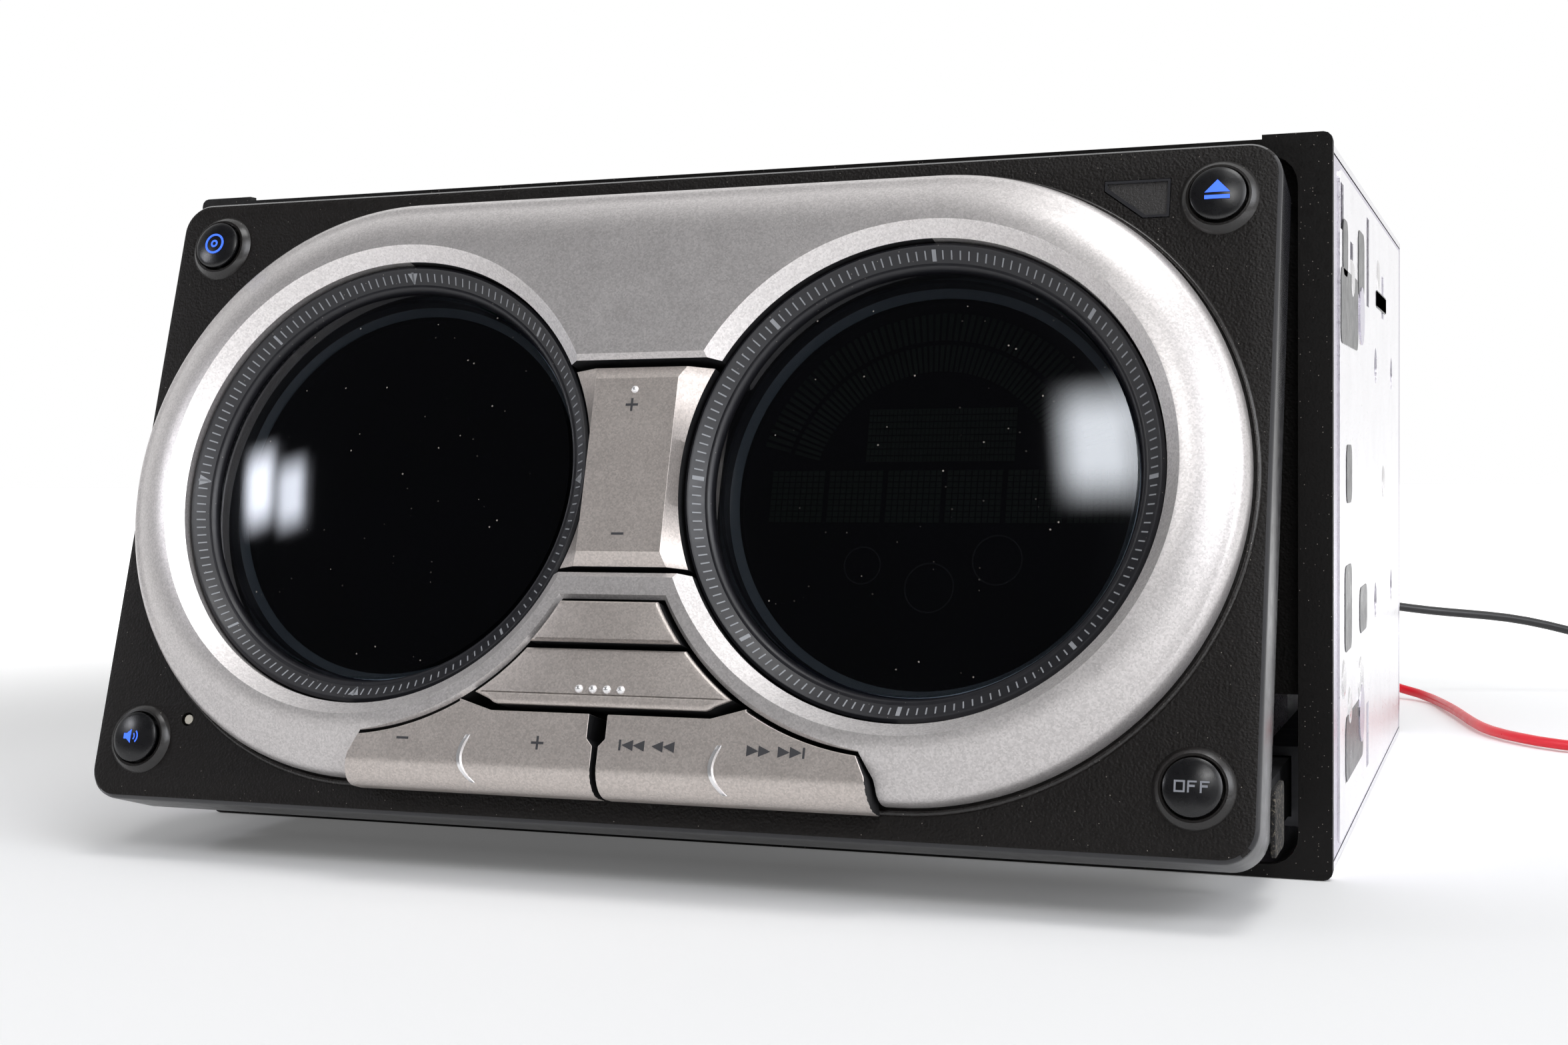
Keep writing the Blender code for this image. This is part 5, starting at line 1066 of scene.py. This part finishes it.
def dot(bm, across, up, height, radius=0.00055):
    """A small raised dot for the finger."""
    face = height(across, up)
    loops = []
    for turn in (0, 30, 60, 80):
        here = radius * math.cos(math.radians(turn))
        rise = radius * 0.75 * math.sin(math.radians(turn))
        loops.append([(u, v, face - 0.00003 + rise) for u, v in disc(across, up, here, 16)])
    loft(bm, loops)


def build_corner_buttons():
    """Four domed round buttons with blue printed legends that carry a painted glow, the reset key
    and the window.
    """
    look = bpy.context.scene.head_unit_finish
    gloss = satin_black("button_gloss", (0.007, 0.007, 0.008), 0.28)
    painted_glow_legend = Tree("legend_painted_glow", tuple(look.legend), 0.4)
    painted_glow_legend.color(painted_glow_legend.mix(painted_glow_legend.noise(0.0004), shade(tuple(look.legend), 0.8), tuple(look.legend)))
    # The blue legends also emit their colour: a painted glow
    painted_glow_legend.set("Emission Color", (*look.legend, 1))
    painted_glow_legend.set("Emission Strength", 0.7)
    grey = plain("legend_grey", (0.24, 0.25, 0.28), 0.5)
    profile = [(0.0036 * step / 8 * 0.96, -0.0009 - 0.0006 * (step / 8 * 0.96) ** 2)
               for step in range(9)]
    profile += [(0.00357, -0.00153), (0.0036, -0.0017), (0.0036, KEY_BACK), (0.0024, KEY_BACK),
                (0.0024, KEY_STEM_BACK), (0, KEY_STEM_BACK)]
    spots = (("top_left", -1, 1), ("top_right", 1, 1), ("bottom_left", -1, -1),
             ("bottom_right", 1, -1))
    for title, side, end in spots:
        place = PANEL @ Matrix.Translation((side * CORNER_U, end * CORNER_V, 0))
        name = "button_" + title
        piece = put("cap_" + title, lathe(profile, 64), gloss, name, place)
        stand_for(smooth(piece, 40), name)
        bm = bmesh.new()
        legend(bm, title)
        colour = grey if title == "bottom_right" else painted_glow_legend.mat
        put("legend_" + title, bm, colour, name, place)
    dress("reset_button", plain("reset_ivory", (0.62, 0.58, 0.50), 0.45), 0.0001)
    build_window()


def wave(bm, middle, radius, thick, start):
    """A piece of a printed ring, 15 degrees long."""
    mark(bm, arc(middle, radius, start, start + 15, 1)
         + arc(middle, radius - thick, start + 15, start, 1), flat(SIGN_FACE))


def legend(bm, title):
    """The printed sign of one corner button; all but the OFF sign carry the painted glow."""
    face = flat(SIGN_FACE)
    if title == "top_right":
        mark(bm, [(-0.0016, -0.0001), (0.0016, -0.0001), (0, 0.0016)], face)
        mark(bm, bar(-0.0016, 0.0016, -0.0010, -0.0005), face)
    elif title == "top_left":
        for radius in (0.0016, 0.0006):
            for step in range(24):
                wave(bm, (0, 0), radius, 0.0003, 15 * step)
    elif title == "bottom_left":
        mark(bm, bar(-0.0014, -0.0009, -0.0004, 0.0004), face)
        mark(bm, [(-0.0009, -0.0004), (-0.0002, -0.0010), (-0.0002, 0.0010), (-0.0009, 0.0004)],
             face)
        for radius in (0.0007, 0.0012):
            for step in range(6):
                wave(bm, (-0.0002, 0), radius, 0.00018, 15 * step - 45)
    else:
        thick = 0.00022
        high = 0.00072
        for left, shape in ((-0.0021, "O"), (-0.0005, "F"), (0.0010, "F")):
            mark(bm, bar(left, left + thick, -high, high), face)
            mark(bm, bar(left + thick, left + 0.0011, high - thick, high), face)
            if shape == "O":
                mark(bm, bar(left + thick, left + 0.0011, -high, thick - high), face)
                mark(bm, bar(left + 0.0011, left + 0.0011 + thick, -high, high), face)
            else:
                mark(bm, bar(left + thick, left + 0.0009, -0.00005, thick), face)


def window_outline(margin):
    """The infrared window: a rectangle with its lower left corner cut off."""
    left, right, low, high = 0.0610 + margin, 0.0698 - margin, 0.0357 + margin, 0.0412 - margin
    return [(left + 0.0052, low), (right, low), (right, high), (left, high), (left, low + 0.0040)]


def build_window():
    """The dark window for the remote control with a thin shiny border."""
    tree = Tree("window_smoke", (0.008, 0.007, 0.007), 0.35)
    grain = tree.noise(0.00035, 4.0, 0.7)
    tree.color(tree.mix(grain, (0.003, 0.0025, 0.0025), (0.03, 0.027, 0.026)))
    tree.bump(grain, 0.00014, 1.0)
    dress("infrared_window", tree.mat, 0.0001)
    bm = bmesh.new()
    outer = window_outline(0.0001)
    inner = window_outline(0.00045)
    for index in range(len(outer)):
        other = (index + 1) % len(outer)
        loop = [outer[index], outer[other], inner[other], inner[index]]
        prism(bm, loop, PANEL_FACE - 0.0002, PANEL_FACE + 0.00008)
    put("window_border", bm, satin_black("border_gloss", (0.03, 0.03, 0.033), 0.12),
        "front_panel", PANEL)


def side_matrix(side):
    """Depth from the front face, height and outward distance to the object's axes."""
    return Matrix(((0, 0, side, side * 0.0884), (1, 0, 0, -0.077), (0, 1, 0, 0), (0, 0, 0, 1)))


def build_sides():
    """Bright bracket plates and screw heads on both sides of the chassis."""
    look = plated_steel("bracket_steel", (0.90, 0.89, 0.91), 0.32, (0.02, 0.0006, 0.0006))
    slots = ((0.0150, 0.0202, 0.0887, 0.0952), (0.0310, 0.0362, 0.0809, 0.0884),
             (0.0620, 0.0672, 0.0809, 0.0952), (0.0235, 0.0287, 0.0095, 0.0160),
             (0.0620, 0.0672, 0.0060, 0.0165), (0.0960, 0.1012, 0.0809, 0.0884))
    for title, side in (("left", -1), ("right", 1)):
        body = prism(bmesh.new(), rounded(0.0146, 0.1440, 0.0022, 0.0970, 0.0015, 4), 0, 0.0003)
        tools = []
        for low, high, under, over in slots:
            tools.append(prism(bmesh.new(), bar(low, high, under, over), -0.001, 0.002))
        for depth in (0.082, 0.122):
            for height in (0.032, 0.072):
                tools.append(prism(bmesh.new(), disc(depth, height, 0.0030), -0.001, 0.002))
        plate = carve(body, tools)
        plate.transform(side_matrix(side))
        piece = put("bracket_plate_" + title, plate, look, "chassis", None)
        soften(smooth(piece, 20), 0.00018, 2)
        bm = bmesh.new()
        # Dark rounded plates on the bright bracket plates: painted dark reflections of the
        # surroundings in the mirror-like plate, with painted shade for its openings
        for low, high, under, over in ((0.0150, 0.0440, 0.0728, 0.0835),
                                       (0.0180, 0.0260, 0.0825, 0.0905),
                                       (0.0445, 0.0560, 0.0815, 0.0915),
                                       (0.0820, 0.1060, 0.0820, 0.0850),
                                       (0.0216, 0.0330, 0.0285, 0.0410),
                                       (0.0480, 0.0620, 0.0290, 0.0362),
                                       (0.0230, 0.0540, 0.0095, 0.0190),
                                       (0.0240, 0.0330, 0.0500, 0.0585)):
            prism(bm, rounded(low, high, under, over, 0.0022, 6), 0.0001, 0.00042)
        bm.transform(side_matrix(side))
        painted_reflection_look = satin_black("painted_dark_reflection", (0.012, 0.012, 0.014), 0.3)
        painted_reflection_plates = put("side_painted_reflections_" + title, bm, painted_reflection_look, "chassis", None)
        soften(smooth(painted_reflection_plates, 20), 0.00008, 2)
        bm = bmesh.new()
        for depth, height in ((0.0345, 0.0830), (0.0869, 0.0875), (0.0200, 0.0250),
                              (0.0300, 0.0200), (0.1000, 0.0520)):
            head = lathe([(0, 0.00060), (0.0012, 0.00058), (0.0022, 0.00052), (0.0028, 0.00036),
                          (0.0030, 0.0001), (0, 0.0001)], 40)
            bmesh.ops.translate(head, vec=(depth, height, 0), verts=head.verts)
            join(bm, head)
        for height in (0.0211, 0.0782):
            head = lathe([(0, 0.00030), (0.0012, 0.00030), (0.0014, 0.00055), (0.0036, 0.00056),
                          (0.0042, 0.00045), (0.0044, 0.0001), (0.0044, 0), (0, 0)], 40)
            bmesh.ops.translate(head, vec=(0.050, height, 0), verts=head.verts)
            join(bm, head)
        bm.transform(side_matrix(side))
        smooth(put("screw_heads_" + title, bm, plated_steel("screw_steel", (0.7, 0.69, 0.7), 0.25),
                   "chassis", None), 40)


def build_chassis():
    """Finishes of the sheets, the frame and everything inside."""
    dress("front_frame", black_grain("frame_black", 0.55, 0.45, 0.00002), 0.0005, 3)
    for look, edge, nodes in (
            (plated_steel("side_lilac", (0.60, 0.57, 0.66), 0.30), 0.0002,
             "left_side_panel right_side_panel"),
            (plated_steel(), 0.0002, "top_cover bottom_plate rear_panel"),
            (plated_steel("inner_steel", (0.68, 0.67, 0.69), 0.28), 0.00015,
             "deck_bracket cd_base_plate cd_top_plate md_base_plate md_cage cd_guide_rods"
             " tuner_can"),
            (plated_steel("motor_can", (0.55, 0.55, 0.57), 0.3), 0.0002,
             "cd_spindle_motor md_spindle_motor drive_motor tilt_motor"),
            (plated_steel("rail_dark", (0.07, 0.07, 0.075), 0.35), 0.00015,
             "slide_rail_left slide_rail_right"),
            (black_grain("fascia_black", 0.04), 0.0003, "inner_fascia"),
            (satin_black("carriage_black", (0.02, 0.02, 0.022), 0.4, 0.05), 0.0003,
             "carriage_frame"),
            (plain("rack_natural", (0.42, 0.40, 0.35), 0.4), 0.0001, "drive_rack"),
            (plain("pinion_brass", (0.72, 0.53, 0.22), 0.25, 1.0), 0.0001, "drive_pinion"),
            (plain("roller_rubber", (0.03, 0.03, 0.03), 0.7), 0.0002, "cd_roller"),
            (plain("turntable_grey", (0.22, 0.22, 0.23), 0.45), 0.0002,
             "cd_turntable md_turntable"),
            (plain("pickup_black", (0.03, 0.03, 0.035), 0.4), 0.0002, "cd_pickup md_pickup"),
            (plain("clamp_white", (0.66, 0.65, 0.62), 0.45), 0.0002, "cd_clamp cd_clamp_arm"),
            (circuit_green(), 0.0001, "main_board panel_board"),
            (plain("sleeve_navy", (0.02, 0.03, 0.10), 0.3), 0.0003, "capacitor"),
            (plain("chip_epoxy", (0.02, 0.02, 0.02), 0.5), 0.0002, "amplifier_chip"),
            (plain("cast_alloy", (0.50, 0.50, 0.51), 0.45, 1.0), 0.0004, "heat_sink"),
            (plain("socket_black", (0.025, 0.025, 0.03), 0.4), 0.0003, "power_socket"),
            (plain("plug_grey", (0.30, 0.29, 0.27), 0.45), 0.0004, "harness_plug"),
            (plain("nickel", (0.68, 0.66, 0.60), 0.25, 1.0), 0.0002, "aerial_socket"),
            (black_grain("cover_black", 0.03), 0.0003, "panel_back_cover"),
            (satin_black("display_dark", (0.006, 0.007, 0.009), 0.2), 0.0002,
             "display_left display_right")):
        for node in nodes.split():
            dress(node, look, edge)


def build_pad():
    """Felt pad on the nose of the right sliding arm."""
    tree = Tree("felt_dust", (0.03, 0.028, 0.025), 0.9)
    fuzz = tree.spread(tree.noise(0.0005, 8.0, 0.8), 0.52, 0.66)
    tree.color(tree.mix(fuzz, (0.006, 0.006, 0.007), (0.30, 0.26, 0.20)))
    tree.bump(tree.noise(0.0003, 6.0), 0.0002, 0.9)
    bm = prism(bmesh.new(), rounded(-0.0240, -0.0145, 0.0072, 0.0158, 0.0012, 4), 0, 0.0006)
    turn = Matrix(((0, 0, 1, 0.0837), (1, 0, 0, -0.077), (0, 1, 0, 0), (0, 0, 0, 1)))
    bmesh.ops.subdivide_edges(bm, edges=bm.edges, cuts=3, use_grid_fill=True)
    bm.transform(turn)
    piece = put("felt_pad", bm, tree.mat, "carriage", None)
    soften(piece, 0.00015, 2)


def smooth_path(points, count):
    """Points evenly spread on a smooth curve through the given ones."""
    knots = [Vector(point) for point in points]
    chain = [knots[0] * 2 - knots[1]] + knots + [knots[-1] * 2 - knots[-2]]
    fine = []
    for index in range(1, len(chain) - 2):
        a, b, c, d = chain[index - 1:index + 3]
        for step in range(12):
            t = step / 12
            fine.append(0.5 * (2 * b + (c - a) * t + (2 * a - 5 * b + 4 * c - d) * t * t
                               + (3 * b - a - 3 * c + d) * t * t * t))
    fine.append(knots[-1])
    lengths = [0]
    for first, second in zip(fine, fine[1:]):
        lengths.append(lengths[-1] + (second - first).length)
    result = []
    for step in range(count):
        want = lengths[-1] * step / (count - 1)
        index = max(1, next((i for i, value in enumerate(lengths) if value >= want),
                            len(lengths) - 1))
        span = lengths[index] - lengths[index - 1]
        share = (want - lengths[index - 1]) / span
        result.append(fine[index - 1].lerp(fine[index], share))
    return result


def build_leads():
    """The red and the black supply lead, loose on the floor behind the unit."""
    for name, route, color in (("red_lead", RED_PATH, (0.75, 0.004, 0.02)),
                               ("black_lead", BLACK_PATH, (0.015, 0.015, 0.016))):
        curve = bpy.data.curves.new(name + "_wire", "CURVE")
        curve.dimensions = "3D"
        curve.bevel_depth = LEAD_RADIUS
        curve.bevel_resolution = 4
        curve.use_fill_caps = True
        path = smooth_path(route, LEAD_POINTS)
        spline = curve.splines.new("POLY")
        spline.points.add(len(path) - 1)
        for point, place in zip(spline.points, path):
            point.co = (*place, 1)
        curve.materials.append(plain(name + "_pvc", color, 0.32, 0.0, 0.002))
        obj = bpy.data.objects.new(name + "_wire", curve)
        bpy.context.scene.collection.objects.link(obj)
        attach(obj, "chassis")
        stand_for(obj, name)


def toward(azimuth, elevation):
    """The direction from the object at these angles, azimuth 0 in front of it."""
    turn = math.radians(azimuth)
    lift = math.radians(elevation)
    return Vector((math.sin(turn) * math.cos(lift), -math.cos(turn) * math.cos(lift),
                   math.sin(lift)))


def lamp(name, azimuth, elevation, distance, width, height, power, color=(1, 1, 1),
         lean=(0, 5)):
    """An area lamp that looks at the object, its height running along the lean."""
    light = bpy.data.lights.new(name, "AREA")
    light.shape = "RECTANGLE"
    light.size = width
    light.size_y = height
    light.energy = power
    light.color = color
    soften_lamp(light)
    obj = bpy.data.objects.new(name, light)
    way = toward(azimuth, elevation)
    above = toward(azimuth + lean[0], elevation + lean[1]) - way
    across = above.cross(way).normalized()
    turn = Matrix((across, way.cross(across), way)).transposed().to_4x4()
    obj.matrix_world = Matrix.Translation(Vector((0, -0.10, 0.05)) + way * distance) @ turn
    bpy.context.scene.collection.objects.link(obj)


def node_ramp(nodes, links, source, values):
    """A smooth step from the first two values to the last two."""
    made = nodes.new("ShaderNodeMapRange")
    made.interpolation_type = "SMOOTHSTEP"
    for index, value in enumerate(values):
        made.inputs[index + 1].default_value = value
    links.new(source, made.inputs[0])
    return made.outputs[0]


def soften_lamp(light):
    """Fade the lamp's face out towards its edges."""
    light.use_nodes = True
    nodes = light.node_tree.nodes
    links = light.node_tree.links
    where = nodes.new("ShaderNodeNewGeometry")
    split = nodes.new("ShaderNodeSeparateXYZ")
    links.new(where.outputs["Parametric"], split.inputs[0])
    product = nodes.new("ShaderNodeMath")
    product.operation = "MULTIPLY"
    for index, axis in enumerate("XY"):
        ramp = nodes.new("ShaderNodeMath")
        ramp.operation = "PINGPONG"
        ramp.inputs[1].default_value = 0.5
        links.new(split.outputs[axis], ramp.inputs[0])
        fade = node_ramp(nodes, links, ramp.outputs[0], (0, 0.40, 0, 1))
        links.new(fade, product.inputs[index])
    links.new(product.outputs[0], nodes["Emission"].inputs["Strength"])


def build_world(strength):
    """White for the camera, an even soft light, and darker towards the front left and above for
    gloss.
    """
    world = bpy.data.worlds.new("room")
    world.use_nodes = True
    bpy.context.scene.world = world
    nodes = world.node_tree.nodes
    links = world.node_tree.links
    back = nodes["Background"]
    where = nodes.new("ShaderNodeTexCoord")
    aim = nodes.new("ShaderNodeVectorMath")
    aim.operation = "DOT_PRODUCT"
    aim.inputs[1].default_value = toward(DARK_AZIMUTH, DARK_ELEVATION)
    links.new(where.outputs["Generated"], aim.inputs[0])
    ramp = node_ramp(nodes, links, aim.outputs["Value"], (0.30, 0.84, 1.0, 0.025))
    path = nodes.new("ShaderNodeLightPath")
    gloss = nodes.new("ShaderNodeMix")
    links.new(path.outputs["Is Glossy Ray"], gloss.inputs["Factor"])
    gloss.inputs[2].default_value = strength
    links.new(ramp, gloss.inputs[3])
    seen = nodes.new("ShaderNodeMix")
    links.new(path.outputs["Is Camera Ray"], seen.inputs["Factor"])
    links.new(gloss.outputs[0], seen.inputs[2])
    seen.inputs[3].default_value = 1.0
    links.new(seen.outputs[0], back.inputs["Strength"])
    back.inputs["Color"].default_value = (1, 1, 1, 1)


def build_stage():
    """Pale floor, soft lamps and the room light."""
    look = bpy.context.scene.head_unit_stage
    size = look.floor_size
    mesh = bpy.data.meshes.new("floor")
    mesh.from_pydata([(-size, -size, 0), (size, -size, 0), (size, size, 0), (-size, size, 0)], [],
                     [(0, 1, 2, 3)])
    mesh.materials.append(floor_paper())
    floor = bpy.data.objects.new("floor", mesh)
    floor.location.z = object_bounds()[0][2] - 0.0001
    bpy.context.scene.collection.objects.link(floor)
    floor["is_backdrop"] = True
    build_world(look.world)
    lamp("lamp_over_camera", 16, 37, 1.2, 0.34, 0.50, look.key_power * 1.6)
    lamp("lamp_left_one", -64.4, 18.1, 0.331, 0.044, 0.085, look.key_power * 0.045,
         (0.93, 0.94, 1.0), (-6.5, 8.6))
    lamp("lamp_left_two", -57.7, 19.1, 0.328, 0.042, 0.078, look.key_power * 0.032,
         (0.93, 0.94, 1.0), (-6.2, 9.3))
    lamp("lamp_right", 65, 28, 1.5, 1.7, 1.4, look.key_power * 8.0, (0.93, 0.95, 1.0))
    lamp("lamp_top", 60, 72, 1.4, 1.0, 0.8, look.key_power * 3.2)


def floor_paper():
    """White studio paper that stays white in the picture and keeps the shadow."""
    mat = bpy.data.materials.new("studio_paper")
    mat.use_nodes = True
    shader = mat.node_tree.nodes["Principled BSDF"]
    shader.inputs["Base Color"].default_value = (0.95, 0.95, 0.95, 1)
    shader.inputs["Roughness"].default_value = 0.9
    shader.inputs["Specular IOR Level"].default_value = 0.1
    nodes = mat.node_tree.nodes
    links = mat.node_tree.links
    path = nodes.new("ShaderNodeLightPath")
    where = nodes.new("ShaderNodeTexCoord")
    far = nodes.new("ShaderNodeVectorMath")
    far.operation = "LENGTH"
    shift = nodes.new("ShaderNodeVectorMath")
    shift.inputs[1].default_value = (0.03, 0.08, 0)
    links.new(where.outputs["Object"], shift.inputs[0])
    links.new(shift.outputs[0], far.inputs[0])
    ramp = node_ramp(nodes, links, far.outputs["Value"], (0.17, 0.50, 0.10, 0.90))
    scale = nodes.new("ShaderNodeMath")
    scale.operation = "MULTIPLY"
    direct = nodes.new("ShaderNodeMath")
    direct.operation = "MAXIMUM"
    links.new(path.outputs["Is Camera Ray"], direct.inputs[0])
    links.new(path.outputs["Is Glossy Ray"], direct.inputs[1])
    links.new(direct.outputs[0], scale.inputs[0])
    links.new(ramp, scale.inputs[1])
    links.new(scale.outputs[0], shader.inputs["Emission Strength"])
    shader.inputs["Emission Color"].default_value = (1, 1, 1, 1)
    return mat


def build_camera():
    """The camera at the photograph's place."""
    data = bpy.data.cameras.new("camera")
    data.lens = 46.78
    data.sensor_width = 36.0
    data.clip_start = 0.01
    obj = bpy.data.objects.new("camera", data)
    right = Vector((0.93834, 0.34560, -0.00897))
    up = Vector((-0.00326, 0.03479, 0.99939))
    behind = -Vector((-0.34570, 0.93773, -0.03377))
    turn = Matrix((right, up, behind)).transposed().to_4x4()
    obj.matrix_world = Matrix.Translation((0.11422, -0.35655, 0.05792)) @ turn
    bpy.context.scene.collection.objects.link(obj)
    bpy.context.scene.camera = obj
    bpy.context.scene.view_settings.view_transform = "Standard"


class MakeCamera(bpy.types.Operator):
    """Place the camera where the photograph was taken"""
    bl_idname = "head_unit.camera"
    bl_label = "Camera"

    def execute(self, context):
        build_camera()
        return {"FINISHED"}


class MakeLeads(bpy.types.Operator):
    """Lay the two supply leads"""
    bl_idname = "head_unit.leads"
    bl_label = "Supply leads"

    def execute(self, context):
        build_leads()
        return {"FINISHED"}


class MakeStage(bpy.types.Operator):
    """Set up the floor, the lamps and the room light"""
    bl_idname = "head_unit.stage"
    bl_label = "Stage"

    def execute(self, context):
        build_stage()
        return {"FINISHED"}


class MakeChassis(bpy.types.Operator):
    """Finish the frame, the sheets, the decks and the rear"""
    bl_idname = "head_unit.chassis"
    bl_label = "Chassis finishes"

    def execute(self, context):
        build_chassis()
        return {"FINISHED"}


class MakeSides(bpy.types.Operator):
    """Add the bracket plates and screw heads on both sides"""
    bl_idname = "head_unit.sides"
    bl_label = "Side plates"

    def execute(self, context):
        build_sides()
        return {"FINISHED"}


class MakeMoulding(bpy.types.Operator):
    """Make the black front moulding and the rims of its corner buttons"""
    bl_idname = "head_unit.moulding"
    bl_label = "Front moulding"

    def execute(self, context):
        build_shell()
        return {"FINISHED"}


class MakeBezel(bpy.types.Operator):
    """Make the silver bezel with its two flared bores"""
    bl_idname = "head_unit.bezel"
    bl_label = "Silver bezel"

    def execute(self, context):
        build_bezel()
        return {"FINISHED"}


class MakeDials(bpy.types.Operator):
    """Make the dial rings, their marks, the lenses and the displays"""
    bl_idname = "head_unit.dials"
    bl_label = "Dials"

    def execute(self, context):
        build_dials()
        return {"FINISHED"}


class MakeKeys(bpy.types.Operator):
    """Make the silver keys between and under the dials, with their marks"""
    bl_idname = "head_unit.keys"
    bl_label = "Silver keys"

    def execute(self, context):
        build_volume()
        build_straight_keys()
        build_rockers()
        build_key_marks()
        return {"FINISHED"}


class MakeCornerButtons(bpy.types.Operator):
    """Make the four corner buttons, the reset key and the window"""
    bl_idname = "head_unit.corner_buttons"
    bl_label = "Corner buttons"

    def execute(self, context):
        build_corner_buttons()
        return {"FINISHED"}


class MakePad(bpy.types.Operator):
    """Put the felt pad on the right sliding arm"""
    bl_idname = "head_unit.pad"
    bl_label = "Felt pad"

    def execute(self, context):
        build_pad()
        return {"FINISHED"}


OPERATORS = (MakeCamera, MakeLeads, MakeStage, MakeChassis, MakeSides, MakeMoulding, MakeBezel,
             MakeDials, MakeKeys, MakeCornerButtons, MakePad)
SETTINGS = (("head_unit_finish", FinishSettings), ("head_unit_dials", DialSettings),
            ("head_unit_stage", StageSettings))


class HeadUnitPanel(bpy.types.Panel):
    """Settings and steps of the head unit's dressing."""
    bl_idname = "VIEW3D_PT_head_unit"
    bl_label = "Head Unit"
    bl_space_type = "VIEW_3D"
    bl_region_type = "UI"
    bl_category = "Head Unit"

    def draw(self, context):
        layout = self.layout
        for name, group in SETTINGS:
            box = layout.box()
            settings = getattr(context.scene, name)
            for key in group.__annotations__:
                box.prop(settings, key)
        for operator in OPERATORS:
            layout.operator(operator.bl_idname)


def register():
    for name, group in SETTINGS:
        bpy.utils.register_class(group)
        setattr(bpy.types.Scene, name, bpy.props.PointerProperty(type=group))
    for operator in OPERATORS:
        bpy.utils.register_class(operator)
    bpy.utils.register_class(HeadUnitPanel)


def unregister():
    bpy.utils.unregister_class(HeadUnitPanel)
    for operator in reversed(OPERATORS):
        bpy.utils.unregister_class(operator)
    for name, group in reversed(SETTINGS):
        delattr(bpy.types.Scene, name)
        bpy.utils.unregister_class(group)


def main():
    register()
    bpy.ops.head_unit.camera()
    bpy.ops.head_unit.leads()
    bpy.ops.head_unit.stage()
    bpy.ops.head_unit.chassis()
    bpy.ops.head_unit.sides()
    bpy.ops.head_unit.moulding()
    bpy.ops.head_unit.bezel()
    bpy.ops.head_unit.dials()
    bpy.ops.head_unit.keys()
    bpy.ops.head_unit.corner_buttons()
    bpy.ops.head_unit.pad()


if __name__ == "__main__":
    main()
